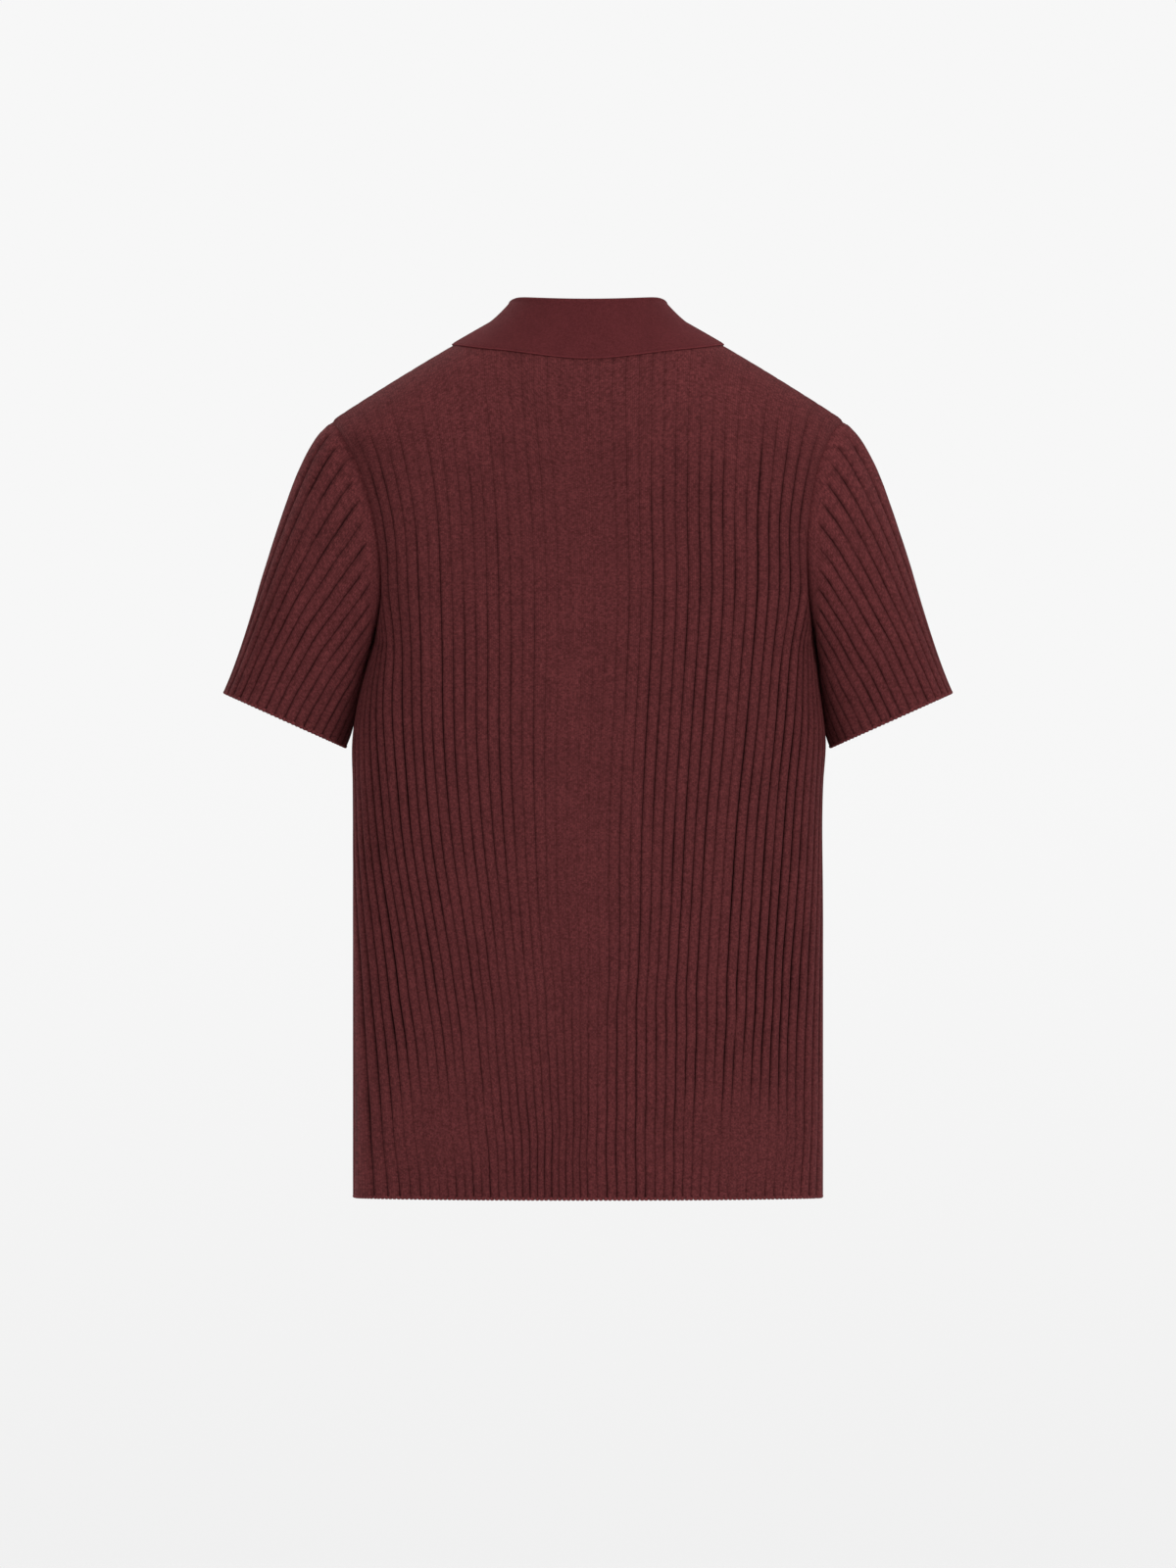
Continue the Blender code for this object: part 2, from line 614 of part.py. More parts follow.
def main():
    for obj in list(bpy.data.objects):
        bpy.data.objects.remove(obj, do_unlink=True)
    bpy.context.scene.collection.children.link(bpy.data.collections.new(COLLECTION))
    knit = new_material("Ribbed knit", KNIT_COLOUR)
    make_panel("back", BACK, knit)
    make_panel("front", FRONT, knit)
    make_sleeve("sleeve_left", LEFT, knit)
    make_sleeve("sleeve_right", RIGHT, knit)
    make_collar(new_material("Collar knit", COLLAR_COLOUR))


main()
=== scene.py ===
"""A short-sleeved polo shirt in ribbed knit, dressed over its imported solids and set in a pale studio.

Metres, +Z up. The front of the shirt faces -Y, so its wearer's left is +X. Each cut piece is a thin knitted
shell on the form of its solid: a fine ribbed face over a plainer inner face. Skin functions give the cloth's
surface from a share across the ribs and a level along them. Edges are bound off with small loops, and seams
are closed with linking stitches.
"""

import math

import bmesh
import bpy
import numpy as np
from bpy.props import FloatProperty, FloatVectorProperty, IntProperty, PointerProperty
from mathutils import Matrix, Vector, kdtree


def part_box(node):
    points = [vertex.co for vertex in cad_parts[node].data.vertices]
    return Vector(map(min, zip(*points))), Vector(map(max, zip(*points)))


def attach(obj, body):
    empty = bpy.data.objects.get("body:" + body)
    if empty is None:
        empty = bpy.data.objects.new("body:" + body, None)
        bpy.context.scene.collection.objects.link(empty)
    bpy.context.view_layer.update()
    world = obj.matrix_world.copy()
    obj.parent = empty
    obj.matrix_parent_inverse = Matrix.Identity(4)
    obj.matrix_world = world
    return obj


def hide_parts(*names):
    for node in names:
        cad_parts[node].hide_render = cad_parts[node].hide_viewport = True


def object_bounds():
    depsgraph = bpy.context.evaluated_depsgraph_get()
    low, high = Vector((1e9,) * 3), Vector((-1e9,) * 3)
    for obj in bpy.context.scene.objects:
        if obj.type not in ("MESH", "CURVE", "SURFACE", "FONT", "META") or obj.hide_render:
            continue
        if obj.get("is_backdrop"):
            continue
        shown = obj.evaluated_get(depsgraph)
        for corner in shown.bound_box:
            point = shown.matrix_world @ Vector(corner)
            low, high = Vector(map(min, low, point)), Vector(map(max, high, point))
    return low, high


bl_info = {
    "name": "Ribbed knit polo shirt",
    "version": (1, 0, 0),
    "blender": (4, 5, 0),
    "location": "3D View > Sidebar > Knit shirt",
    "description": "Makes the knitted cloth, seams and edges of a polo shirt, and the studio round it",
    "category": "Add Mesh",
}

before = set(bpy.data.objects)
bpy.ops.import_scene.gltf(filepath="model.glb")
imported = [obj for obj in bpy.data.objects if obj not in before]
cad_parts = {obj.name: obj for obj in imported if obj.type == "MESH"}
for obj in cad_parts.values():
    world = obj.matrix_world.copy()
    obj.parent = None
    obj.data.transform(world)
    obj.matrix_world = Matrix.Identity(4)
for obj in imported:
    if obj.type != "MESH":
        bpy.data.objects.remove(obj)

BODY = "root"
BACK, FRONT = 1, -1
LEFT, RIGHT = 1, -1

# The ribs: those that run up between the armholes, and those on each side that end under the arm
MIDDLE_RIBS = {BACK: 38, FRONT: 40}
SIDE_RIBS = 7
SLEEVE_RIBS = 36
RIB_COLUMNS = {  # where each rib has its columns, as shares of the pitch, and how high the knit stands there
    "place": (0.0, 0.055, 0.12, 0.27, 0.50, 0.73, 0.88, 0.945),
    "height": (0.0, 0.38, 0.72, 0.93, 1.0, 0.93, 0.72, 0.38),
}
COLUMNS_A_RIB = len(RIB_COLUMNS["place"])

# The body, with half widths to each side, half depths to the back and the front, and how square its
# section is: 2 is an ellipse
HEM_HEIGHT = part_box("back")[0].z
EASE_HEIGHT = -0.376  # below this the armholes don't draw the ribs
UNDERARM_HEIGHT = -0.235
TORSO = {
    "height": (HEM_HEIGHT, -0.560, -0.450, -0.340, -0.310, -0.270, UNDERARM_HEIGHT, -0.150, 0.0),
    "left": (0.1822, 0.1822, 0.1822, 0.1822, 0.1825, 0.1770, 0.1690, 0.1690, 0.1690),
    "right": (0.1822, 0.1822, 0.1822, 0.1822, 0.1840, 0.1800, 0.1770, 0.1770, 0.1770),
    "back": (0.084, 0.081, 0.080, 0.083, 0.084, 0.085, 0.086, 0.087, 0.087),
    "front": (0.092, 0.090, 0.090, 0.094, 0.096, 0.099, 0.101, 0.103, 0.103),
    "square": (2.0, 2.0, 2.05, 2.25, 2.35, 2.5, 2.6, 2.7, 2.7),
}

# The armhole in side view is an egg. Its turn runs from the underarm at -90 to the shoulder point at 90,
# by way of the corner where the ribs stop ending on it and start to follow it.
SHOULDER_HALF_WIDTH = 0.2005
CORNER_TURN = -30.0
ARMHOLE_DEPTH = {BACK: 0.050, FRONT: 0.052}
ARMHOLE = {
    "turn": (-90, -60, -30, 0, 30, 60, 90),
    "left": (0.1690, 0.1655, 0.1610, 0.1640, 0.1750, 0.1910, SHOULDER_HALF_WIDTH),
    "right": (0.1770, 0.1755, 0.1715, 0.1705, 0.1770, 0.1885, SHOULDER_HALF_WIDTH),
}
ARMHOLE_LEAN = math.radians(37)  # how far the seam's own outward direction turns to the side
CUT_SINE, CUT_SHARE = 0.985, 0.7  # limits that keep the body's sections sound above the armholes
EDGE_BLEND = 6  # the power by which the rows between the armholes bend to meet their edges

# The shoulder line, and how the cloth rounds over it
NECK_HALF_WIDTH = 0.072
NECK_DEPTH = {BACK: 0.062, FRONT: 0.075}
NECK_POINT_HEIGHT = 0.0172
SHOULDER_SLOPE = (0.56, 0.65)  # at the neck and at the shoulder point
ROUND_OVER = {BACK: (0.127, 0.062), FRONT: (0.135, 0.064)}  # its height at the centre and at the shoulder
ARCH_SHARE = 0.9  # of the body's depth, towards the radius that the cloth climbs over the shoulder
V_HALF_WIDTH, V_HEIGHT = 0.042, -0.110
NECK_EASE = 0.08

# How far the back's ribs are drawn to the centre at the hem, as shares of the panel's width
RIB_DRIFT = {LEFT: 0.090, RIGHT: 0.032}
DRIFT_EDGE, DRIFT_FADE, DRIFT_SWELL = 0.3, 1.2, 0.9  # powers to the edge and up, and how much it swells

# The sleeves
CUFF_CENTRE = (0.2360, -0.014, -0.2914)
CUFF_HALF_WIDTH, CUFF_HALF_DEPTH = 0.0515, 0.043
CUFF_TILT = math.radians(24.2)
SLEEVE_CLEARANCE = 0.0019
CLEAR_LEVEL, CLEAR_RISE = 0.1, 0.002  # it holds in full from this level, and up to this far over the underarm
SLEEVE_GATHER = 0.24  # the share of each half's ribs that end on the underarm seam before the armhole
GATHER_FADE = 1.7
SLEEVE_END_RIBS = 0.8  # the ribs that end there fade out over this share of a rib
SLEEVE_BAND = 0.0060  # how far the ribs stay off the armhole's seam
SLEEVE_START = {
    "turn": (-90, -60, -30, 0, 45, 90),
    "slope": (62, 68, 76, 70, 54, 40),
    "pull": (0.35, 0.50, 0.60, 0.65, 0.66, 0.68),
}
SLEEVE_END_PULL = 0.95
SLEEVE_BULGE = 0.12

# The collar: a knitted strip folded over on itself
COLLAR_END_TURN = math.radians(-55)
COLLAR_STATIONS = 241
COLLAR_LIFT = 0.0006  # how far its foot stands up from the neck's edge
COLLAR_EDGE = 0.55  # the share of its thickness at its edges
FOLD_HALF_WIDTH, FOLD_DEPTH = 0.0612, {BACK: 0.052, FRONT: 0.064}
FOLD_HEIGHT, FOLD_DROP = 0.0365, {BACK: 0.0027, FRONT: 0.0260}
FOLD_RADIUS = 0.0024
FOLD_CORNER = (0.0026, 18)  # how much lower the fold lies at the sides, and how suddenly it comes
FALL_HALF_WIDTH, FALL_DEPTH = 0.1055, {BACK: 0.0713, FRONT: 0.1000}
FALL_STANDOFF = 0.0020
FALL_FLARE = (0.24, 0.62)  # how far out the fall's curve is pulled at the middle and at the sides,
FALL_FALL = (0.62, 0.71)  # and how far down, both as shares of its drop
STAND_STEPS, FOLD_STEPS, FALL_STEPS = 8, 10, 24

# How the rows are spaced along each piece
BODY_ROWS, EASE_ROWS, ARM_ROWS, SLEEVE_ROWS = 52, 26, 44, 52
ROW_CROWDING = 0.35  # how much closer the rows lie at a sleeve's seam

# The bends that ribs would have at the ease row and the corner row are evened out over so many rows
RELAX_REACH = {"ease": 9, "corner": 13}
RELAX_PASSES, RELAX_RIBS, RELAX_LEAST = 60, 5, 1e-4  # passes, ribs to fade in over, and the least weight

# How ribs stray: waves along them with sizes in shares of the pitch, which shift from side to side, and
# on the upper body and the sleeves, a rib's length and how much and how soon it strays
STRAY_WAVES = {"length": (0.23, 0.11, 0.052), "size": (0.07, 0.05, 0.03)}
STRAY_SHIFT = (9, 22)
ARM_STRAY = {"length": 0.25, "share": 0.5, "start": 4}
SLEEVE_STRAY = {"length": 0.22, "share": 0.8, "start": 3}
SLEEVE_SHIFT = 0.4
SEEDS = {"body": 11, "arms": 31, "sleeve": 51, "body grooves": 71, "sleeve grooves": 91}

# How the grooves' depths change: at so many places along each, and from one to the next
GROOVE_PLACES = 21
GROOVE_SLOW, GROOVE_EACH, GROOVE_LIMITS = 0.17, 0.13, (0.4, 1.3)

# Near a seam the ribs fade, and the cloth dips into the seam line
SEAM_POINT_STEP = 0.0012
RIB_FADE = 0.0030
SEAM_TURN = 0.0060
SEAM_DIP, SEAM_WIDTH = 0.0010, 0.0014
CREASE_CLEAR = 4 * SEAM_TURN

# The grooves are this much deeper at the side seams than at the middle, and lie flat along the shoulders.
# The shade painted into them follows their depth
SIDE_DEPTH, SIDE_REACH = 0.30, 0.16
SHOULDER_FLAT, SHOULDER_REACH = 0.85, 0.038
LEAST_GROOVE, DEEPEST_GROOVE = 0.05, 1.9

# Where the knit lies flatter than elsewhere, as soft ovals: centre, reach and how much of the grooves goes.
# Where they are deeper, the share is negative. The shade painted into the grooves follows their depth
FLAT_PLACES = {
    BACK: {
        "x": (-0.002, 0.006, 0.120, -0.095, 0.118, -0.128, 0.045, 0.030, 0.166, -0.145, 0.130),
        "z": (-0.150, -0.360, -0.045, -0.035, -0.612, -0.625, -0.500, -0.120, -0.560, -0.475, -0.160),
        "reach_x": (0.032, 0.034, 0.090, 0.095, 0.044, 0.055, 0.080, 0.110, 0.018, 0.030, 0.090),
        "reach_z": (0.160, 0.150, 0.060, 0.062, 0.060, 0.052, 0.130, 0.140, 0.085, 0.110, 0.130),
        "share": (0.75, 0.75, 0.75, 0.75, 0.94, 0.92, 0.40, 0.45, -0.50, -0.30, 0.35),
    },
    FRONT: {
        "x": (0.000, 0.140, -0.140),
        "z": (-0.160, -0.630, -0.620),
        "reach_x": (0.090, 0.060, 0.065),
        "reach_z": (0.120, 0.040, 0.045),
        "share": (0.40, 0.60, 0.60),
    },
}

# Soft troughs (a positive depth) and ridges in the cloth, from one place to another. They are shallower
# at their ends, by CREASE_END of half a wave
CREASE_END = 0.12
CREASES = {
    BACK: {
        "from_x": (0.146, -0.152, 0.168, -0.148, 0.010, 0.060, -0.085, 0.170, -0.172),
        "from_z": (-0.225, -0.220, -0.360, -0.390, -0.100, -0.560, -0.330, -0.668, -0.668),
        "to_x": (0.138, -0.150, 0.120, -0.160, -0.012, 0.150, -0.060, 0.080, -0.070),
        "to_z": (-0.350, -0.375, -0.560, -0.600, -0.330, -0.500, -0.420, -0.668, -0.668),
        "depth": (0.0026, 0.0022, 0.0016, 0.0022, 0.0018, -0.0012, -0.0010, 0.0078, 0.0078),
        "width": (0.013, 0.012, 0.015, 0.011, 0.040, 0.018, 0.020, 0.046, 0.044),
    },
    FRONT: {
        "from_x": (0.140, -0.146, 0.050, -0.045, 0.155, -0.150, 0.165, -0.160),
        "from_z": (-0.215, -0.225, -0.130, -0.140, -0.430, -0.400, -0.668, -0.668),
        "to_x": (0.118, -0.128, 0.110, -0.100, 0.110, -0.115, 0.090, -0.070),
        "to_z": (-0.330, -0.345, -0.300, -0.330, -0.600, -0.590, -0.668, -0.668),
        "depth": (0.0028, 0.0024, 0.0016, 0.0014, -0.0014, 0.0013, 0.0050, 0.0056),
        "width": (0.014, 0.013, 0.018, 0.020, 0.020, 0.018, 0.032, 0.036),
    },
}
SLEEVE_CREASES = {  # shares round the sleeve from the underarm over the back, and levels down it
    "from_u": (0.06, 0.20, 0.92, 0.80, 0.44),
    "from_level": (0.10, 0.34, 0.12, 0.30, 0.16),
    "to_u": (0.22, 0.36, 0.80, 0.64, 0.50),
    "to_level": (0.62, 0.86, 0.60, 0.84, 0.52),
    "depth": (0.0020, -0.0012, 0.0020, -0.0013, 0.0010),
    "width": (0.045, 0.055, 0.045, 0.060, 0.050),
}

# The loops of the edges and seams: how far they sink into the cloth, and sizes as shares of the settings
HEM_LIFT, CUFF_PLACE, SEAM_SINK = 0.0004, 0.6, 1.15
LOOP_SIZES = ("Step", "Loop length", "Loop width", "Loop height")
LOOP_OVERLAP, LOOP_WIDTH = 1.05, 1.1
LINKING_OVERLAP, LINKING_WIDTH, LINKING_HEIGHT = 0.85, 0.0011, 0.0009
COLLAR_LOOP = (1.1, 1.5, 0.8, 0.75)  # step and length by the stitch, width and height by the wall

# The knit's look: the share of the colour that stays at a groove's bottom, where shade is painted into the
# colour by the rib height, the stitches' height, and how far one stitch's colour may be from the next
BODY_LOOK = {"groove": 0.37, "bump": 0.0005, "grain": 0.46}
COLLAR_LOOK = {"groove": 0.70, "bump": 0.00022, "grain": 0.20}
STITCH_LEAN, COURSE_SHARE = 1.1, 0.8  # how a stitch's legs lean, and a collar stitch's height by its width
# The first is how far the painted shade darkens the gaps between the wales; the others spread the yarn's own
# tone
WALE_GAP_SHADE, DYE_SPREAD, SLUB_SPREAD, FUZZ_SPREAD = 0.30, 0.34, 1.6, 0.50  # slub goes by the grain
FUZZ_HEIGHT, YARN_BUMP = 0.35, (0.6, 0.0002)
CLOTH_FINISH = {
    "Metallic": 0.0,
    "Roughness": 0.95,
    "Specular IOR Level": 0.06,
    "Sheen Roughness": 0.4,
    "Sheen Tint": (0.9, 0.25, 0.27, 1.0),
}
YARN_FINISH = {**CLOTH_FINISH, "Roughness": 0.9, "Sheen Tint": (0.9, 0.3, 0.32, 1.0)}
SHARP_ANGLE = math.radians(62)
JOIN_DISTANCE = 1e-6
TINY = 1e-6

# The studio. The photograph's frame gives the camera's height and lens
PICTURE = (1200, 1600)
HORIZON_ROW = 800  # the picture's row that the level camera looks along
ORIGIN_ROW = 352  # the picture's row of the shirt's origin
SENSOR = 36.0
FLOOR = {"height": -1.06, "radius": 2.4, "clear": 0.55, "sides": 96}
LIGHTS = {  # soft boxes: place, size and share of the key's power
    "name": ("key", "fill", "front_key", "front_fill", "top"),
    "x": (-2.3, 2.2, 1.9, -2.1, 0.0),
    "y": (2.4, 2.4, -2.6, -2.3, 0.3),
    "z": (1.1, 0.8, 1.0, 0.4, 2.4),
    "size": (1.3, 1.8, 1.5, 1.8, 1.6),
    "share": (0.93, 0.48, 0.9, 0.5, 0.23),
}
LIGHTS_AIM = (0.0, 0.0, -0.3)
SEEN_FADE = (-0.07, 0.01, 0.93, 1.0)  # from and to a direction's height, from and to a share of the light
LIT_FADE = (-0.6, 0.3, 0.25, 1.0)
SEEN_TONE, LIT_TONE = 1.0, 0.8  # the greys of the background that is seen and of the light from all round


def named(table, name, at):
    """The table's column at any place, through a smooth curve along the table's first column."""
    places = np.asarray(next(iter(table.values())), float)
    values = np.asarray(table[name], float)
    slopes = np.gradient(values, places)
    at = np.clip(at, places[0], places[-1])
    i = np.clip(np.searchsorted(places, at, side="right") - 1, 0, len(places) - 2)
    span = places[i + 1] - places[i]
    t = (at - places[i]) / span
    rise = t * t * (3 - 2 * t)
    start = t * (1 - t) ** 2 * span * slopes[i]
    end = t * t * (t - 1) * span * slopes[i + 1]
    return values[i] + (values[i + 1] - values[i]) * rise + start + end


def side_name(side):
    return "left" if side == LEFT else "right"


def face_name(face):
    return "back" if face == BACK else "front"


def unit(vectors):
    return vectors / np.maximum(np.linalg.norm(vectors, axis=-1, keepdims=True), 1e-12)


def smooth(t):
    return t * t * (3 - 2 * t)


def bell(distance, reach):
    return np.exp(-((distance / reach) ** 2))


# ---------------------------------------------------------------- the body's form


def ridge_height(x):
    """The height of the shoulder line at x, carried on as a low arch across the neck."""
    x = np.abs(x)
    beyond = np.maximum(x - NECK_HALF_WIDTH, 0)
    run = SHOULDER_HALF_WIDTH - NECK_HALF_WIDTH
    near, far = SHOULDER_SLOPE
    fallen = near * beyond + (far - near) * beyond**2 / (2 * run)
    arch = near * NECK_HALF_WIDTH / 2 * (1 - (np.minimum(x, NECK_HALF_WIDTH) / NECK_HALF_WIDTH) ** 2)
    return NECK_POINT_HEIGHT - fallen + arch


def round_over(face, x):
    centre, shoulder = ROUND_OVER[face]
    return shoulder + (centre - shoulder) * np.clip(1 - (np.abs(x) / SHOULDER_HALF_WIDTH) ** 2, 0, 1)


def rounded(face, x, z):
    """The share of its full depth that the cloth has at this place, less as it rounds over the shoulder."""
    below = np.clip((ridge_height(x) - z) / round_over(face, x), 0, 1)
    return np.sqrt(1 - (1 - below) ** 2)


def egg_middle():
    top = ridge_height(SHOULDER_HALF_WIDTH)
    return (top + UNDERARM_HEIGHT) / 2, (top - UNDERARM_HEIGHT) / 2


def armhole_edge(face, side, turn):
    """The armhole's seam line at a turn in degrees: half width, half depth and height."""
    middle, half = egg_middle()
    angle = np.radians(turn)
    x = named(ARMHOLE, side_name(side), turn)
    return x, ARMHOLE_DEPTH[face] * np.cos(angle), middle + half * np.sin(angle)


def armhole_line(face, side, turn):
    x, y, z = armhole_edge(face, side, turn)
    return np.stack([side * x, face * y, z], axis=-1)


def armhole_outward(face, side, turn):
    """The seam's own outward direction, which the panel and the sleeve share."""
    y, z = np.cos(np.radians(turn)), np.sin(np.radians(turn))
    lean = math.tan(ARMHOLE_LEAN)
    return unit(np.stack([np.full_like(y, side * lean), face * y, z], axis=-1))


def length_along(points):
    return np.concatenate([[0], np.cumsum(np.linalg.norm(np.diff(points, axis=0), axis=1))])


def even_turns(face, side, first, last, shares):
    """Turns at even shares of the seam's length between two turns."""
    turns = np.linspace(first, last, 181)
    run = length_along(armhole_line(face, side, turns))
    return np.interp(np.asarray(shares) * run[-1], run, turns)


def half_width(face, side, z):
    """The half width that the body's section would have at this height if the armhole didn't cut it."""
    middle, half = egg_middle()
    turn = np.degrees(np.arcsin(np.clip((z - middle) / half, -1, CUT_SINE)))
    x, y, height = armhole_edge(face, side, turn)
    square = named(TORSO, "square", height)
    full = named(TORSO, face_name(face), height) * np.maximum(rounded(face, x, height), TINY)
    cut = x * (1 - np.minimum(y / full, CUT_SHARE) ** square) ** (-1 / square)
    return np.where(z > UNDERARM_HEIGHT, cut, named(TORSO, side_name(side), z))


def width_at(face, across, z):
    return np.where(across >= 0, half_width(face, LEFT, z), half_width(face, RIGHT, z))


def body_point(face, x, z):
    """The place on the body's back or front at x and z."""
    square = named(TORSO, "square", z)
    share = np.clip(np.abs(x) / width_at(face, x, z), 0, 1)
    full = named(TORSO, face_name(face), z)
    depth = full * (1 - share**square) ** (1 / square) * rounded(face, x, z)
    return np.stack([x, face * depth, z], axis=-1)


def shoulder_height(face, x, y):
    """The height of the cloth over a place in plan, y from the middle."""
    square = TORSO["square"][-1]
    share = np.minimum(np.abs(x) / half_width(face, LEFT, np.zeros_like(x)), 1)
    full = TORSO[face_name(face)][-1] * np.maximum(1 - share**square, TINY) ** (1 / square)
    return ridge_height(x) - round_over(face, x) * (1 - np.sqrt(1 - np.minimum(np.abs(y) / full, 1) ** 2))


def neck_height(face, x):
    """The height of the neckline at x, inside the neck's half width."""
    reach = V_HALF_WIDTH if face == FRONT else 0.0
    at = np.maximum(np.abs(x), reach)
    out = NECK_DEPTH[face] * np.sqrt(np.clip(1 - (at / NECK_HALF_WIDTH) ** 2, 0, 1))
    height = shoulder_height(face, at, out)
    if face == FRONT:
        slope = (height - V_HEIGHT) / reach
        height = np.where(np.abs(x) < reach, V_HEIGHT + slope * np.abs(x), height)
    return height


def arch_radius(face, x):
    return (round_over(face, x) + TORSO[face_name(face)][-1] * ARCH_SHARE) / 2


def climb_length(face, x):
    """The length of the cloth from the height of the armholes' corners to the piece's top edge at x."""
    start = armhole_edge(face, LEFT, CORNER_TURN)[2]
    ridge, radius = ridge_height(x), round_over(face, x)
    cut = np.where(np.abs(x) < NECK_HALF_WIDTH, neck_height(face, x), ridge)
    cut_turn = np.arccos(np.clip(1 - (ridge - cut) / radius, 0, 1))
    return np.minimum(ridge - radius, cut) - start + arch_radius(face, x) * (np.pi / 2 - cut_turn)


def climbed_height(face, x, level):
    """The height at a share of the way up that length. Low down, a row takes the mean length of the cloth
    around x, so that the neckline's corners don't crease it."""
    start = armhole_edge(face, LEFT, CORNER_TURN)[2]
    reach = NECK_EASE * (1 - level)
    around = np.linspace(-reach, reach, 7)
    climbed = level * np.mean([climb_length(face, x + away) for away in around], axis=0)
    ridge, radius = ridge_height(x), round_over(face, x)
    straight = ridge - radius - start
    turn = np.pi / 2 - np.maximum(climbed - straight, 0) / arch_radius(face, x)
    return np.where(climbed < straight, start + climbed, ridge - radius * (1 - np.cos(turn)))


DENSE = np.sin(np.linspace(-np.pi / 2, np.pi / 2, 361))


def spread_evenly(line, places, shares):
    """The places where these shares of the line's length are reached."""
    run = length_along(line)
    return np.interp(shares * run[-1], run, places)


# ---------------------------------------------------------------- the knit's own unevenness


def wander(u, along, seed):
    """How far ribs stray sideways, as a share of their pitch, in slow waves that neighbours share."""
    draw = np.random.default_rng(seed)
    stray = 0
    for wavelength, size in zip(*STRAY_WAVES.values()):
        phase, shift = draw.uniform(0, 2 * np.pi), draw.uniform(*STRAY_SHIFT)
        stray = stray + size * np.sin(2 * np.pi * along / wavelength + phase + shift * u)
    return stray


def wander_later(u, level, shape, seed):
    """The same, but growing from none at a piece's first level."""
    return wander(u, level * shape["length"], seed) * smooth(min(1, shape["start"] * level)) * shape["share"]


def groove_depth(ribs, rows, seed, ring=False):
    """How deep the nearest groove is at each row and column, about 1."""
    draw = np.random.default_rng(seed)
    coarse = draw.normal(0, 1, (GROOVE_PLACES, ribs + 1))
    places = np.linspace(0, 1, GROOVE_PLACES)
    slow = np.array([np.interp(np.linspace(0, 1, rows), places, column) for column in coarse.T]).T
    each = draw.normal(0, 1, ribs + 1)
    depth = np.clip(1 + GROOVE_SLOW * slow + GROOVE_EACH * each, *GROOVE_LIMITS)
    if ring:
        depth[:, -1] = depth[:, 0]
    half = COLUMNS_A_RIB // 2
    return np.repeat(depth, COLUMNS_A_RIB, axis=1)[:, half : half + ribs * COLUMNS_A_RIB + 1]


def flatness(face, x, z):
    """The share of the grooves' depth that stays where the knit lies flatter."""
    kept = 1 + SIDE_DEPTH * smooth(np.clip(np.abs(x) / SIDE_REACH, 0, 1))
    kept = kept * (1 - SHOULDER_FLAT * bell(ridge_height(x) - z, SHOULDER_REACH))
    for at_x, at_z, reach_x, reach_z, share in zip(*FLAT_PLACES[face].values()):
        kept = kept * (1 - share * bell(x - at_x, reach_x) * bell(z - at_z, reach_z))
    return kept


def crease_depth(table, a, b):
    """How far the creases of a table press the cloth in at the places a, b of its two directions."""
    pressed = 0.0
    for a0, b0, a1, b1, depth, width in zip(*table.values()):
        run = np.array([a1 - a0, b1 - b0])
        share = np.clip(((a - a0) * run[0] + (b - b0) * run[1]) / (run @ run), 0, 1)
        away = np.hypot(a - a0 - share * run[0], b - b0 - share * run[1])
        taper = np.sin(np.pi * (CREASE_END + (1 - 2 * CREASE_END) * share))
        pressed = pressed + depth * bell(away, width) * taper
    return pressed


# ---------------------------------------------------------------- grids of cloth


def rib_columns(ribs):
    """Shares of the width where the outer face has its columns, and the knit's height there."""
    place = np.array(RIB_COLUMNS["place"])
    shares = (np.arange(ribs)[:, None] + place).ravel()
    heights = np.tile(RIB_COLUMNS["height"], ribs)
    return np.append(shares, ribs) / ribs, np.append(heights, 0.0)


def grid_normals(grid, flip):
    """Outward directions of a grid of points, from its slopes both ways."""
    return flip * unit(np.cross(np.gradient(grid, axis=1), np.gradient(grid, axis=0)))


def level_row(face, z, shares):
    """Shares of the section's half width where ribs spread evenly along it stand."""
    line = body_point(face, DENSE * width_at(face, DENSE, z), np.full_like(DENSE, z))
    return spread_evenly(line, DENSE, shares)


def drift(face, u, low):
    """How far a rib of the back is drawn to the centre at a share of the way up to EASE_HEIGHT."""
    if face == FRONT:
        return 0.0
    side = np.clip(2 * u - 1, -1, 1)
    most = np.where(side > 0, RIB_DRIFT[LEFT], RIB_DRIFT[RIGHT])
    rise = (1 - low) ** DRIFT_FADE * (1 + DRIFT_SWELL * low)
    return -2 * most * side * (1 - np.abs(side)) ** DRIFT_EDGE * rise


def corner_row(face, u, edge):
    """The row at the armholes' corners, which dips along the lower armholes at each side: shares of the
    half width, and heights."""
    x, z = np.empty_like(u), np.empty_like(u)
    for side, outer in ((RIGHT, u < edge), (LEFT, u > 1 - edge)):
        share = (u if side == RIGHT else 1 - u)[outer] / edge
        turns = even_turns(face, side, -90, CORNER_TURN, np.clip(share, 0, 1))
        half, _, z[outer] = armhole_edge(face, side, turns)
        x[outer] = side * half
    middle = (u >= edge) & (u <= 1 - edge)
    line = arm_row(face, (u[middle] - edge) / (1 - 2 * edge), 0.0)
    x[middle], z[middle] = line[:, 0], line[:, 2]
    return x / width_at(face, x, z), z


def arm_row(face, u, level):
    """The body between the armholes at a share of the way from their corners to the top edge."""
    turn = CORNER_TURN + (90 - CORNER_TURN) * level
    edges = {side: armhole_edge(face, side, turn) for side in (LEFT, RIGHT)}

    def row(across):
        inside = climbed_height(face, across * SHOULDER_HALF_WIDTH, level)
        at_edge = climbed_height(face, np.array([SHOULDER_HALF_WIDTH]), level)[0]
        z = inside + np.abs(across) ** EDGE_BLEND * (edges[LEFT][2] - at_edge)
        return body_point(face, across * np.where(across >= 0, edges[LEFT][0], edges[RIGHT][0]), z)

    line = row(DENSE)[:, :2] * (1, 1 - level**2)
    return row(spread_evenly(line, DENSE, u))


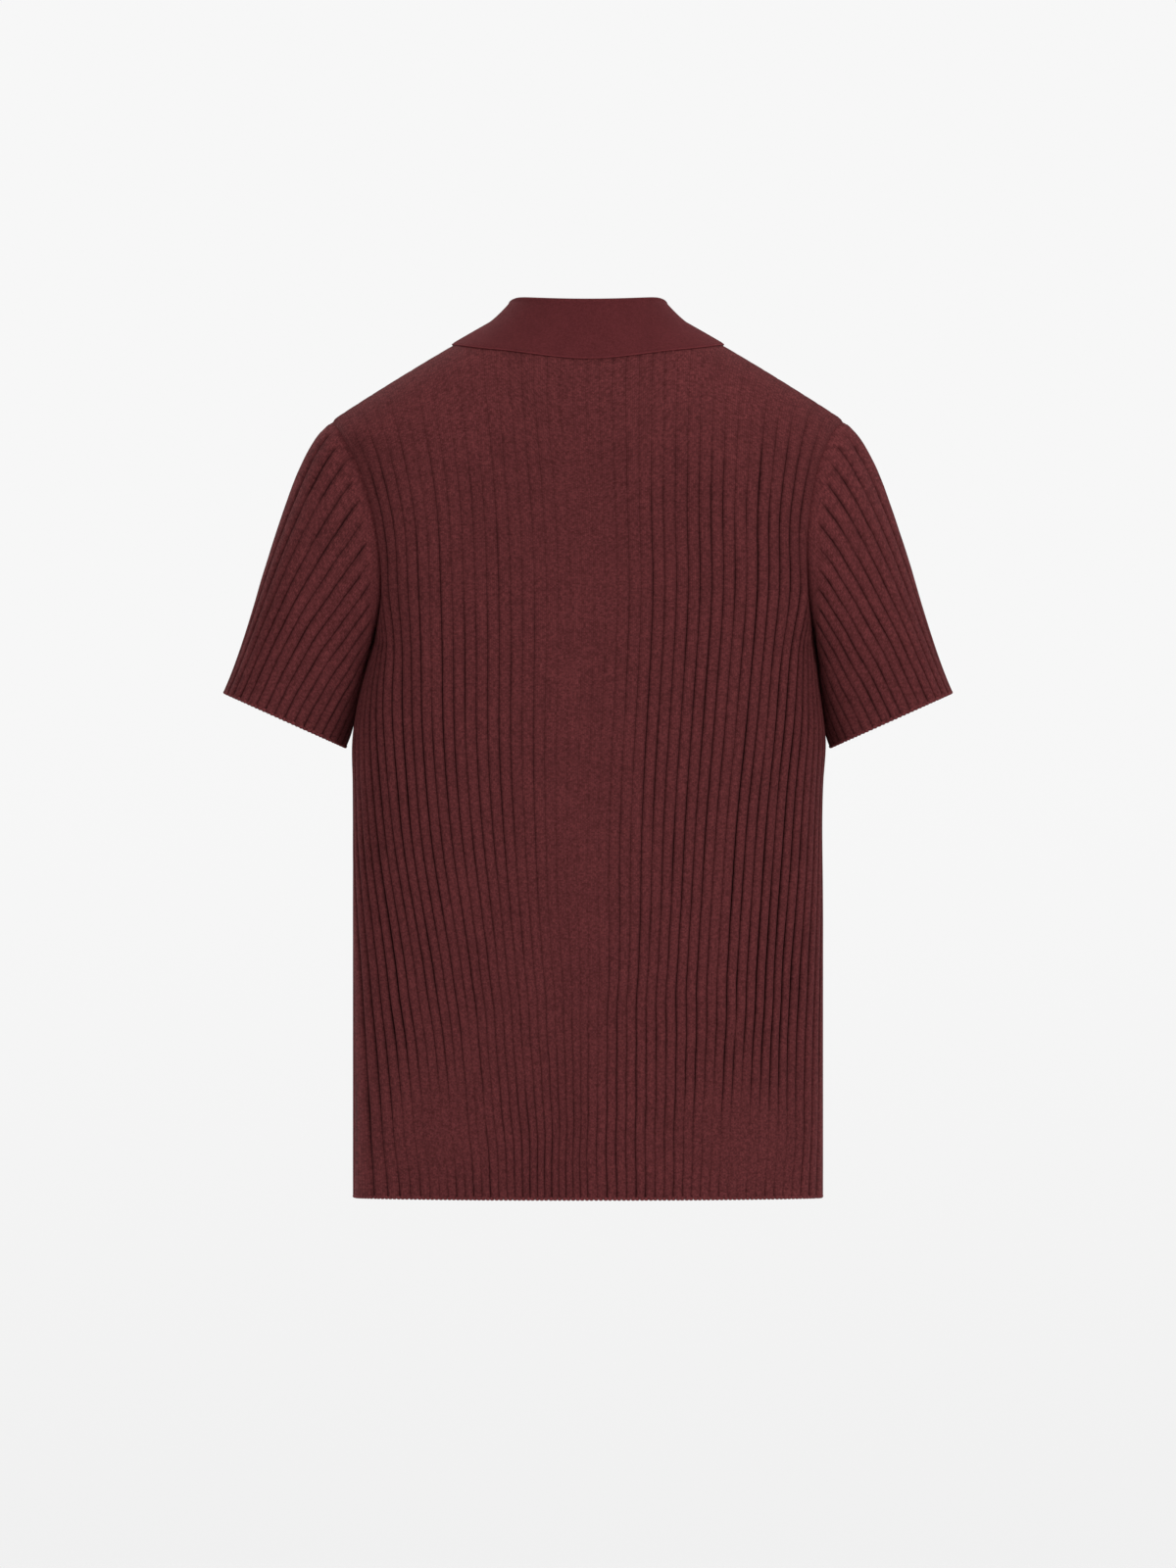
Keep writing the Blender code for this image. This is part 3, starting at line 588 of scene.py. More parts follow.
def relax(grid, face, row, reach, first, last):
    """Evens out the bend that the columns between these two have near a row."""
    rows = np.arange(1, len(grid) - 1)[:, None, None]
    columns = np.arange(last + 1 - first)
    from_edge = np.minimum(columns, columns[::-1]) / (RELAX_RIBS * COLUMNS_A_RIB)
    weight = bell(rows - row, reach) * smooth(np.clip(from_edge, 0, 1))[:, None]
    part = grid[1:-1, first : last + 1]
    above, below = grid[2:, first : last + 1], grid[:-2, first : last + 1]
    for _ in range(RELAX_PASSES):
        part += weight * ((above + below) / 2 - part) * 0.5
    part[:] = np.where(weight > RELAX_LEAST, body_point(face, part[..., 0], part[..., 2]), part)


def panel_grid(face):
    """The panel's rows from the hem to the top edge. Above the armholes' corners only the middle columns
    count."""
    ribs = MIDDLE_RIBS[face] + 2 * SIDE_RIBS
    edge = SIDE_RIBS / ribs
    u = rib_columns(ribs)[0]
    inner = np.sin(np.pi * u) ** 0.5  # ribs don't stray at the side seams
    corner_across, corner_z = corner_row(face, u, edge)
    rows = []
    for low in np.linspace(0, 1, BODY_ROWS, endpoint=False):
        z = HEM_HEIGHT + low * (EASE_HEIGHT - HEM_HEIGHT)
        stray = wander(u, z, SEEDS["body"] + face) * inner / ribs
        across = level_row(face, z, u + stray + drift(face, u, low))
        rows.append((across, np.full_like(u, z)))
    start = level_row(face, EASE_HEIGHT, u)
    for level in np.linspace(0, 1, EASE_ROWS):
        z = EASE_HEIGHT + level * (corner_z - EASE_HEIGHT)
        across = start + smooth(level) * (corner_across - start)
        stray = wander(u, z, SEEDS["body"] + face) * inner / ribs * (1 - smooth(level))
        rows.append((across + stray * np.sqrt(np.maximum(1 - across**2, 0)), z))
    body = np.array([body_point(face, across * width_at(face, across, z), z) for across, z in rows])
    first, last = SIDE_RIBS * COLUMNS_A_RIB, (SIDE_RIBS + MIDDLE_RIBS[face]) * COLUMNS_A_RIB
    arms = []
    levels = np.linspace(0, 1, ARM_ROWS + 1)[1:]
    middle_u = rib_columns(MIDDLE_RIBS[face])[0]
    ends = np.sin(np.pi * middle_u) ** 0.5
    for level in levels:
        row = body[-1].copy()
        stray = wander_later(middle_u, level, ARM_STRAY, SEEDS["arms"] + face) * ends
        row[first : last + 1] = arm_row(face, middle_u + stray / MIDDLE_RIBS[face], level)
        arms.append(row)
    grid = np.concatenate([body, arms])
    relax(grid, face, BODY_ROWS, RELAX_REACH["ease"], 0, len(u) - 1)
    relax(grid, face, len(body), RELAX_REACH["corner"], first, last)
    for side, column in ((RIGHT, first), (LEFT, last)):
        turns = CORNER_TURN + (90 - CORNER_TURN) * levels
        grid[len(body) :, column] = armhole_line(face, side, turns)
    for side, outer in ((RIGHT, slice(None, first + 1)), (LEFT, slice(last, None))):
        share = (u if side == RIGHT else 1 - u)[outer] / edge
        turns = even_turns(face, side, -90, CORNER_TURN, np.clip(share, 0, 1))
        grid[len(body) - 1, outer] = armhole_line(face, side, turns)
    return grid, len(body), first, last


def cuff_point(side, face, turn):
    """The cuff's rim. turn runs from 0 at the inner seam to pi at the outer edge, over the back or front."""
    x, y, z = CUFF_CENTRE
    along = -CUFF_HALF_WIDTH * np.cos(turn)
    across = face * CUFF_HALF_DEPTH * np.sin(turn)
    return np.stack(
        [side * (x + along * math.cos(CUFF_TILT)), y + across, z + along * math.sin(CUFF_TILT)], axis=-1
    )


def clear_of_body(points, side, clearance):
    """The points, moved sideways where they would come closer than this to the body's side."""
    x, y, z = side * points[..., 0], points[..., 1], points[..., 2]
    width = named(TORSO, side_name(side), z)
    depth = np.where(y > 0, named(TORSO, "back", z), named(TORSO, "front", z))
    square = named(TORSO, "square", z)
    surface = width * (1 - np.clip(np.abs(y) / depth, 0, 1) ** square) ** (1 / square) + clearance
    low = z < UNDERARM_HEIGHT + CLEAR_RISE
    moved = points.copy()
    moved[..., 0] = side * np.where(low, np.maximum(x, surface), x)
    return moved


def sleeve_half(side, face, share, level):
    """One row of the sleeve's back or front, from the underarm at 0 to the shoulder at 1."""
    axis = np.array([side * math.sin(CUFF_TILT), 0, -math.cos(CUFF_TILT)])
    turn = even_turns(face, side, -90, 90, share)
    start = armhole_line(face, side, turn)
    dense = np.linspace(0, np.pi, 181)
    end = cuff_point(side, face, spread_evenly(cuff_point(side, face, dense), dense, share))
    slope = np.radians(named(SLEEVE_START, "slope", turn))
    bulge = SLEEVE_BULGE * face * np.cos(np.radians(turn))
    leave = unit(np.stack([side * np.cos(slope), bulge, -np.sin(slope)], axis=-1))
    reach = np.linalg.norm(end - start, axis=-1, keepdims=True)
    pull = named(SLEEVE_START, "pull", turn)[:, None] * reach
    point = start * (1 + 2 * level) * (1 - level) ** 2 + end * level * level * (3 - 2 * level)
    point += pull * leave * level * (1 - level) ** 2 + SLEEVE_END_PULL * reach * axis * level**2 * (level - 1)
    return clear_of_body(point, side, SLEEVE_CLEARANCE * min(1.0, level / CLEAR_LEVEL))


def sleeve_levels():
    even = np.linspace(0, 1, SLEEVE_ROWS)
    return even * (1 - ROW_CROWDING) + ROW_CROWDING * even**2


def sleeve_row(side, u, level):
    over_back = sleeve_half(side, BACK, np.clip(2 * u, 0, 1), level)
    over_front = sleeve_half(side, FRONT, np.clip(2 - 2 * u, 0, 1), level)
    return np.where(u[:, None] <= 0.5, over_back, over_front)


def sleeve_grid(side):
    """The sleeve's points and outward directions, and how many ribs each lies from the underarm seam. Going
    up, the ribs lean to that seam, and those next to it end there."""
    u = rib_columns(SLEEVE_RIBS)[0]
    even = np.linspace(0, 1, 145)
    levels = sleeve_levels()
    plain = np.array([sleeve_row(side, even, level) for level in levels])
    looped = np.concatenate([plain[:, -2:-1], plain, plain[:, 1:2]], axis=1)
    directions = grid_normals(looped, side)[:, 1:-1]
    points, normals, clear = [], [], []
    for level, row in zip(levels, directions):
        around = np.sin(np.pi * u) * SLEEVE_SHIFT
        stray = wander_later(around, level, SLEEVE_STRAY, SEEDS["sleeve"] + side)
        strayed = u + stray * np.sin(2 * np.pi * u) ** 2 / SLEEVE_RIBS
        gathered = SLEEVE_GATHER * (1 - level) ** GATHER_FADE
        share = (1 - np.abs(2 * strayed - 1) - gathered) / (1 - gathered)
        moved = np.clip(share, 0, 1) / 2
        moved = np.where(u <= 0.5, moved, 1 - moved)
        points.append(sleeve_row(side, moved, level))
        normals.append(unit(np.stack([np.interp(moved, even, values) for values in row.T], axis=-1)))
        clear.append(np.clip(share * SLEEVE_RIBS / 2, 0, None))
    return np.array(points), np.array(normals), np.array(clear)


# ---------------------------------------------------------------- seams


def even_points(points, directions, step):
    """A line's points and directions at an even step along it."""
    run = length_along(points)
    at = np.linspace(0, run[-1], max(3, int(round(run[-1] / step)) + 1))
    columns = [np.interp(at, run, values) for values in (*points.T, *directions.T)]
    return np.stack(columns[:3], axis=-1), unit(np.stack(columns[3:], axis=-1))


def armhole_seam(side):
    """All round an armhole, from the underarm over the back and the shoulder to the front."""
    turns = np.linspace(-90, 90, 181)
    points, directions = [], []
    for face, order in ((BACK, turns), (FRONT, turns[::-1])):
        points.append(armhole_line(face, side, order))
        directions.append(armhole_outward(face, side, order))
    return even_points(np.concatenate(points), np.concatenate(directions), SEAM_POINT_STEP)


def side_seam(side):
    z = np.linspace(HEM_HEIGHT, UNDERARM_HEIGHT, 200)
    x = side * named(TORSO, side_name(side), z)
    points = np.stack([x, np.zeros_like(z), z], axis=-1)
    return even_points(points, np.tile([float(side), 0.0, 0.0], (len(z), 1)), SEAM_POINT_STEP)


def shoulder_seam(side):
    x = np.linspace(NECK_HALF_WIDTH, SHOULDER_HALF_WIDTH, 80)
    points = np.stack([side * x, np.zeros_like(x), ridge_height(x)], axis=-1)
    slope = np.gradient(ridge_height(x), x)
    return even_points(points, np.stack([-side * slope, 0 * x, 1 + 0 * x], axis=-1), SEAM_POINT_STEP)


def nearest_seam(grid, seams):
    """The distance from each point of a grid to the nearest seam, and the seam's outward direction there."""
    points = np.concatenate([seam[0] for seam in seams])
    directions = np.concatenate([seam[1] for seam in seams])
    tree = kdtree.KDTree(len(points))
    for index, point in enumerate(points):
        tree.insert(point, index)
    tree.balance()
    found = [tree.find(point)[1:] for point in grid.reshape(-1, 3)]
    nearest = np.array([index for index, _ in found])
    distance = np.array([away for _, away in found])
    return distance.reshape(grid.shape[:-1]), directions[nearest].reshape(grid.shape)


def knit_faces(base, normals, heights, pressed, seams, knit, band=0.0):
    """The outer and inner points of ribbed cloth, and the heights of its ribs, which are shares of the full
    height before they fade out at this distance from the seams. The material paints these heights as
    shade in the grooves."""
    away, direction = nearest_seam(base, seams)
    near = bell(away, SEAM_TURN)[..., None]
    normals = unit(normals * (1 - near) + direction * near)
    fade = 1 - bell(np.maximum(away - band, 0), RIB_FADE)
    ribs = knit.rib_height * heights * fade
    press = pressed * (1 - bell(away, CREASE_CLEAR))
    dip = SEAM_DIP * bell(away, SEAM_WIDTH)
    outer = base + normals * (ribs - press - dip)[..., None]
    inner = base - normals * (knit.wall + press)[..., None]
    return outer, inner, 1 - (1 - heights) * fade


# ---------------------------------------------------------------- meshes


def cloth_mesh(name, outer, inner, present, wales, courses, shade, material, step=1, ring=False):
    """A closed wall between two grids of points, over the cells that are present. The outer grid has step
    columns for each one of the inner grid, and a ring's last column joins its first. wales and courses are
    the knit's place for every outer column and row, and shade is the outer grid's rib height, from 0 in a
    groove to 1, kept in the attribute rib, which the material paints as shade in the grooves."""
    rows, wide, narrow = len(outer), outer.shape[1], inner.shape[1]
    faces, places = [], []

    def outside(r, c):
        return r * wide + c % wide, np.stack([wales[c], courses[r]], axis=-1)

    def inside(r, c):
        return rows * wide + r * narrow + c % narrow, np.stack([wales[c * step], courses[r]], axis=-1)

    def add(*corners):
        faces.extend(np.stack([index for index, _ in corners], axis=-1).tolist())
        places.append(np.stack([place for _, place in corners], axis=1).reshape(-1, 2))

    def rim(axis, side):
        """The cells with none before them (side 0) or after them (side 1)."""
        beside = np.roll(present, 1 - 2 * side, axis=axis)
        if axis == 0 or not ring:
            beside[(slice(None),) * axis + (-side,)] = False
        return np.nonzero(present & ~beside)

    row, cell = np.nonzero(present)
    for k in range(step):
        c = cell * step + k
        add(outside(row, c), outside(row, c + 1), outside(row + 1, c + 1), outside(row + 1, c))
    add(inside(row, cell), inside(row + 1, cell), inside(row + 1, cell + 1), inside(row, cell + 1))
    for side in (0, 1):
        r, c = rim(1, side)
        c = c + side
        add(outside(r, c * step), inside(r, c), inside(r + 1, c), outside(r + 1, c * step))
        r, c = rim(0, side)
        r = r + side
        for k in range(c.size and step - 1):
            add(inside(r, c), outside(r, c * step + k), outside(r, c * step + k + 1))
        add(inside(r, c), outside(r, (c + 1) * step - 1), outside(r, (c + 1) * step), inside(r, c + 1))
    mesh = bpy.data.meshes.new(name)
    mesh.from_pydata(np.concatenate([outer.reshape(-1, 3), inner.reshape(-1, 3)]).tolist(), [], faces)
    mesh.uv_layers.new(name="Knit").data.foreach_set("uv", np.concatenate(places).astype(np.float32).ravel())
    # Painted shade: the rib height, kept for the material, darkens the colour in the grooves
    rib = mesh.attributes.new("rib", "FLOAT", "POINT")
    rib.data.foreach_set("value", np.append(shade.ravel(), np.zeros(inner.size // 3)).astype(np.float32))
    mesh.materials.append(material)
    return tidy_mesh(mesh)


def tidy_mesh(mesh):
    """The mesh without double or loose points, with its faces pointing out and smooth but for its rims."""
    work = bmesh.new()
    work.from_mesh(mesh)
    bmesh.ops.remove_doubles(work, verts=work.verts, dist=JOIN_DISTANCE)
    bmesh.ops.delete(work, geom=[vert for vert in work.verts if not vert.link_faces], context="VERTS")
    bmesh.ops.recalc_face_normals(work, faces=work.faces)
    work.to_mesh(mesh)
    work.free()
    mesh.shade_smooth()
    mesh.set_sharp_from_angle(angle=SHARP_ANGLE)
    return mesh


def show(name, data):
    """A new object in the scene."""
    obj = bpy.data.objects.new(name, data)
    bpy.context.scene.collection.objects.link(obj)
    return obj


def add_piece(name, mesh, slot, *nodes):
    """A piece of the shirt, which shows in place of these nodes."""
    obj = show(name, mesh)
    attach(obj, BODY)
    if nodes:
        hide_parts(*nodes)
    return obj


# ---------------------------------------------------------------- nodes and materials


def fill(tree, node, inputs):
    """Sets a node's inputs to values, or links other nodes' outputs to them."""
    for key, value in inputs.items():
        if isinstance(value, bpy.types.NodeSocket):
            tree.links.new(value, node.inputs[key])
        else:
            node.inputs[key].default_value = value
    return node


def new_node(tree, kind, place, inputs=None, **settings):
    """A node at this place in the tree, with its inputs and properties."""
    node = tree.nodes.new(kind)
    node.location = place
    for key, value in settings.items():
        setattr(node, key, value)
    return fill(tree, node, inputs or {})


def math_node(tree, operation, place, *inputs):
    """The output of a math node on numbers or on other nodes' outputs."""
    return new_node(tree, "ShaderNodeMath", place, dict(enumerate(inputs)), operation=operation).outputs[0]


def ramp_node(tree, place, value, ranges, curve="SMOOTHSTEP"):
    """The output of a soft ramp. ranges are where it starts and ends, and what it puts out there."""
    inputs = {"Value": value, **dict(zip(("From Min", "From Max", "To Min", "To Max"), ranges))}
    return new_node(tree, "ShaderNodeMapRange", place, inputs, interpolation_type=curve).outputs["Result"]


def new_group(name, kind, inputs, outputs):
    """A new node group with its input and output nodes. inputs and outputs give each socket's kind."""
    tree = bpy.data.node_groups.new(name, kind)
    for way, sockets in (("INPUT", inputs), ("OUTPUT", outputs)):
        for label, socket in sockets.items():
            tree.interface.new_socket(label, in_out=way, socket_type="NodeSocket" + socket)
    return tree, new_node(tree, "NodeGroupInput", (-900, 0)), new_node(tree, "NodeGroupOutput", (900, 0))


def once(kept, name, make, *values):
    """The group or material of this name, made if it isn't there yet."""
    return kept.get(name) or make(name, *values)


def stitch_group(name):
    """Knit stitches: V-shaped loops in upright wales, one to each unit of the knit's place. It puts out the
    stitches' height, a random tone for each stitch, and painted shade: dark lines in the gaps between the
    wales."""
    dip, plump, narrow = 0.3, 0.6, 6.0  # between loops, round a leg and across the lines of painted shade
    outputs = dict.fromkeys(("Height", "Stitch shade", "Wale gap shade"), "Float")
    tree, start, end = new_group(name, "ShaderNodeTree", {"Knit place": "Vector", "Lean": "Float"}, outputs)
    split = new_node(tree, "ShaderNodeSeparateXYZ", (-700, 0), {0: start.outputs["Knit place"]})
    across = math_node(tree, "FRACT", (-500, 150), split.outputs["X"])
    aside = math_node(tree, "ABSOLUTE", (-200, 150), math_node(tree, "SUBTRACT", (-350, 150), across, 0.5))
    slanted = math_node(tree, "MULTIPLY", (-50, 0), aside, start.outputs["Lean"])
    phase = math_node(tree, "SUBTRACT", (100, 0), split.outputs["Y"], slanted)
    wave = math_node(tree, "COSINE", (400, 0), math_node(tree, "MULTIPLY", (250, 0), phase, 2 * math.pi))
    loop = math_node(tree, "MULTIPLY_ADD", (550, 0), wave, dip, 1 - dip)
    leg = math_node(tree, "SINE", (250, 250), math_node(tree, "MULTIPLY", (100, 250), aside, 2 * math.pi))
    leg = math_node(tree, "POWER", (550, 250), math_node(tree, "MAXIMUM", (400, 250), leg, 0.0), plump)
    wale = math_node(tree, "FLOOR", (-350, -200), split.outputs["X"])
    course = math_node(tree, "FLOOR", (-350, -350), phase)
    cell = new_node(tree, "ShaderNodeCombineXYZ", (-200, -250), {"X": wale, "Y": course}).outputs[0]
    shade = new_node(tree, "ShaderNodeTexWhiteNoise", (0, -250), {"Vector": cell}, noise_dimensions="2D")
    height = math_node(tree, "MULTIPLY", (700, 200), leg, loop)
    # Painted shade: dark lines in the gaps between the wales
    line = math_node(tree, "POWER", (700, -100), math_node(tree, "MULTIPLY", (550, -150), aside, 2.0), narrow)
    fill(tree, end, {"Height": height, "Stitch shade": shade.outputs["Value"], "Wale gap shade": line})
    return tree


def yarn_group(name):
    """Yarn: a slow unevenness of its dye, thicker and thinner lengths and a fine fuzz, all over the object's
    own place."""
    table = {"output": ("Dye", "Slub", "Fuzz"), "scale": (38.0, 380.0, 900.0), "detail": (3.0, 1.0, 2.0)}
    tree, _, end = new_group(name, "ShaderNodeTree", {}, dict.fromkeys(table["output"], "Float"))
    place = new_node(tree, "ShaderNodeTexCoord", (-500, 0)).outputs["Object"]
    for output, scale, detail in zip(*table.values()):
        inputs = {"Vector": place, "Scale": scale, "Detail": detail, "Roughness": 0.6}
        fill(tree, end, {output: new_node(tree, "ShaderNodeTexNoise", (-200, 0), inputs).outputs["Fac"]})
    return tree


def new_material(name, finish):
    """A material, its node tree and its shader."""
    material = bpy.data.materials.new(name)
    material.use_nodes = True
    tree = material.node_tree
    return material, tree, fill(tree, tree.nodes["Principled BSDF"], finish)


def dye(tree, shader, colour, masks):
    """Colours the shader, lighter and darker by masks: each one's output, how far it goes, and its least. The
    masks are the yarn's own tone and, for knitted cloth, also painted shade in its grooves and between wales.
    """
    amount = 1.0
    for k, (mask, spread, least) in enumerate(masks):
        factor = math_node(tree, "MULTIPLY_ADD", (-850, 300 - 200 * k), mask, spread, least)
        amount = math_node(tree, "MULTIPLY", (-700 + 100 * k, 100), amount, factor)
    inputs = {"Factor": 1.0, "A": (*colour, 1.0), "B": amount}
    tint = new_node(tree, "ShaderNodeMix", (0, 200), inputs, data_type="RGBA", blend_type="MULTIPLY")
    fill(tree, shader, {"Base Color": tint.outputs["Result"]})


def emboss(tree, shader, height, strength, distance):
    inputs = {"Height": height, "Strength": strength, "Distance": distance}
    fill(tree, shader, {"Normal": new_node(tree, "ShaderNodeBump", (0, -200), inputs).outputs["Normal"]})


def yarn_masks(yarn):
    return [(yarn["Dye"], DYE_SPREAD, 1 - DYE_SPREAD / 2), (yarn["Fuzz"], FUZZ_SPREAD, 1 - FUZZ_SPREAD / 2)]


def add_yarn(tree):
    group = once(bpy.data.node_groups, "Yarn", yarn_group)
    return new_node(tree, "ShaderNodeGroup", (-1100, -300), node_tree=group).outputs


def knit_material(name, cloth, look):
    """Matt dyed yarn, knitted, with shade painted into its colour in the grooves and between the wales."""
    material, tree, shader = new_material(name, {**CLOTH_FINISH, "Sheen Weight": cloth.sheen})
    group = once(bpy.data.node_groups, "Knit stitches", stitch_group)
    place = new_node(tree, "ShaderNodeUVMap", (-1300, 0), uv_map="Knit").outputs["UV"]
    inputs = {"Lean": STITCH_LEAN, "Knit place": place}
    stitches = fill(tree, new_node(tree, "ShaderNodeGroup", (-1100, 0), node_tree=group), inputs).outputs
    # Painted shade in the grooves: the rib height, from 0 at a groove's bottom to 1, darkens the colour down
    # to the look's groove share
    rib = new_node(tree, "ShaderNodeAttribute", (-1100, 300), attribute_name="rib").outputs["Fac"]
    yarn = add_yarn(tree)
    groove, grain = look["groove"], look["grain"]
    masks = [
        (rib, 1 - groove, groove),
        (stitches["Stitch shade"], grain, 1 - grain / 2),
        # Painted shade in the gaps between the wales
        (stitches["Wale gap shade"], -WALE_GAP_SHADE, 1.0),
        (yarn["Slub"], grain * SLUB_SPREAD, 1 - grain * SLUB_SPREAD / 2),
    ]
    dye(tree, shader, cloth.colour, masks + yarn_masks(yarn))
    height = math_node(tree, "MULTIPLY_ADD", (-650, -400), yarn["Fuzz"], FUZZ_HEIGHT, stitches["Height"])
    emboss(tree, shader, height, 1.0, look["bump"])
    return material


def yarn_material(name, cloth):
    """The same yarn where it is laid in single loops."""
    material, tree, shader = new_material(name, {**YARN_FINISH, "Sheen Weight": cloth.sheen})
    yarn = add_yarn(tree)
    dye(tree, shader, cloth.colour, yarn_masks(yarn))
    emboss(tree, shader, yarn["Fuzz"], *YARN_BUMP)
    return material


# ---------------------------------------------------------------- loops along a line


def loop_tree(name):
    """Geometry Nodes that lay a knitted loop at each step along a curve, standing on its upper side."""
    inputs = {"Geometry": "Geometry", **dict.fromkeys(LOOP_SIZES, "Float"), "Material": "Material"}
    tree, start, end = new_group(name, "GeometryNodeTree", inputs, {"Geometry": "Geometry"})
    tree.is_modifier = True
    given = start.outputs
    inputs = {"Curve": given["Geometry"], "Length": given["Step"]}
    even = new_node(tree, "GeometryNodeResampleCurve", (-600, 200), inputs, mode="LENGTH")
    inputs = {"Segments": 7, "Rings": 5, "Radius": 0.5}
    bead = new_node(tree, "GeometryNodeMeshUVSphere", (-600, -100), inputs)
    inputs = {"X": given["Loop width"], "Y": given["Loop height"], "Z": given["Loop length"]}
    size = new_node(tree, "ShaderNodeCombineXYZ", (-600, -300), inputs)
    inputs = {"Vector": new_node(tree, "GeometryNodeInputTangent", (-800, -500)).outputs[0]}
    turn = new_node(tree, "FunctionNodeAlignRotationToVector", (-400, -450), inputs, axis="Z")
    normal = new_node(tree, "GeometryNodeInputNormal", (-800, -650)).outputs[0]
    inputs = {"Rotation": turn.outputs[0], "Vector": normal}
    stand = new_node(
        tree, "FunctionNodeAlignRotationToVector", (-200, -450), inputs, axis="Y", pivot_axis="Z"
    )
    inputs = {
        "Points": even.outputs["Curve"],
        "Instance": bead.outputs["Mesh"],
        "Rotation": stand.outputs[0],
        "Scale": size.outputs[0],
    }
    made = new_node(tree, "GeometryNodeInstanceOnPoints", (0, 100), inputs).outputs["Instances"]
    for kind, place in (("RealizeInstances", (300, 100)), ("SetShadeSmooth", (450, 100))):
        made = new_node(tree, "GeometryNode" + kind, place, {"Geometry": made}).outputs["Geometry"]
    inputs = {"Geometry": made, "Material": given["Material"]}
    made = new_node(tree, "GeometryNodeSetMaterial", (650, 100), inputs).outputs["Geometry"]
    fill(tree, end, {"Geometry": made})
    return tree


def loops_along(name, points, closed, sizes, material, slot):
    """A piece of loops along a line of points. sizes are those in LOOP_SIZES."""
    data = bpy.data.curves.new(name + "_line", "CURVE")
    data.dimensions = "3D"
    spline = data.splines.new("POLY")
    spline.points.add(len(points) - 1)
    spline.points.foreach_set("co", np.column_stack([points, np.ones(len(points))]).ravel())
    spline.use_cyclic_u = closed
    guide = show(name + "_line", data)
    tree = once(bpy.data.node_groups, "Loops along an edge", loop_tree)
    modifier = guide.modifiers.new("Loops", "NODES")
    modifier.node_group = tree
    sockets = {item.name: item.identifier for item in tree.interface.items_tree if item.in_out == "INPUT"}
    for label, value in zip(LOOP_SIZES, sizes):
        modifier[sockets[label]] = value
    modifier[sockets["Material"]] = material
    ready = guide.evaluated_get(bpy.context.evaluated_depsgraph_get())
    mesh = bpy.data.meshes.new_from_object(ready)
    mesh.name = name
    bpy.data.objects.remove(guide, do_unlink=True)
    bpy.data.curves.remove(data)
    add_piece(name, mesh, slot)


# ---------------------------------------------------------------- settings


class KnitSettings(bpy.types.PropertyGroup):
    rib_height: FloatProperty(
        name="Rib height", description="How far a rib stands over its grooves", default=0.0013, unit="LENGTH"
    )
    wall: FloatProperty(
        name="Wall", description="The knit's thickness under a groove", default=0.0012, unit="LENGTH"
    )
    wales: IntProperty(name="Wales", description="Upright rows of stitches in one rib", default=6)
    course: FloatProperty(name="Course", description="The height of a stitch", default=0.0011, unit="LENGTH")
    sheen: FloatProperty(name="Sheen", description="The soft shine of the yarn's fuzz", default=0.025)
    colour: FloatVectorProperty(
        name="Colour",
        description="The dyed yarn of the body",
        default=(0.139, 0.0318, 0.0340),
        subtype="COLOR",
    )


class CollarSettings(bpy.types.PropertyGroup):
    wall: FloatProperty(name="Wall", description="The collar's thickness", default=0.0016, unit="LENGTH")
    stitch: FloatProperty(name="Stitch", description="The width of a stitch", default=0.0009, unit="LENGTH")
    sheen: FloatProperty(name="Sheen", description="The soft shine of the yarn's fuzz", default=0.11)
    colour: FloatVectorProperty(
        name="Colour",
        description="The dyed yarn of the collar",
        default=(0.156, 0.0308, 0.0350),
        subtype="COLOR",
    )


class EdgeSettings(bpy.types.PropertyGroup):
    step: FloatProperty(name="Step", description="From one loop to the next", default=0.0037, unit="LENGTH")
    loop: FloatProperty(name="Loop", description="An edge loop's thickness", default=0.0031, unit="LENGTH")
    linking: FloatProperty(
        name="Linking", description="The length of a linking stitch", default=0.0026, unit="LENGTH"
    )


class StudioSettings(bpy.types.PropertyGroup):
    distance: FloatProperty(
        name="Camera distance", description="From the shirt to the camera", default=12.0, unit="LENGTH"
    )
    pixel: FloatProperty(
        name="Pixel", description="A picture element's size at the shirt", default=0.000763, unit="LENGTH"
    )
    background: FloatProperty(name="Background", description="Brightness of the background", default=0.93)
    fill: FloatProperty(name="Fill", description="Light from all round", default=0.42)
    key: FloatProperty(name="Key", description="Power of the main soft light, in watts", default=73.0)


# ---------------------------------------------------------------- pieces

hems, cuffs, necks, collar_edges = {}, {}, {}, []  # the lines that the edges' loops are laid along


def stitch_count(grid, axis, size):
    """How many stitches of this size lie before each row or column of a grid, in the mean."""
    run = np.linalg.norm(np.diff(grid, axis=axis), axis=-1).mean(axis=1 - axis)
    return np.concatenate([[0], np.cumsum(run)]) / size


class SHIRT_OT_panels(bpy.types.Operator):
    """Knit the back and the front"""

    bl_idname = "shirt.panels"
    bl_label = "Back and front"

    def execute(self, context):
        for face in (BACK, FRONT):
            make_panel(face, context.scene.shirt_knit)
        return {"FINISHED"}


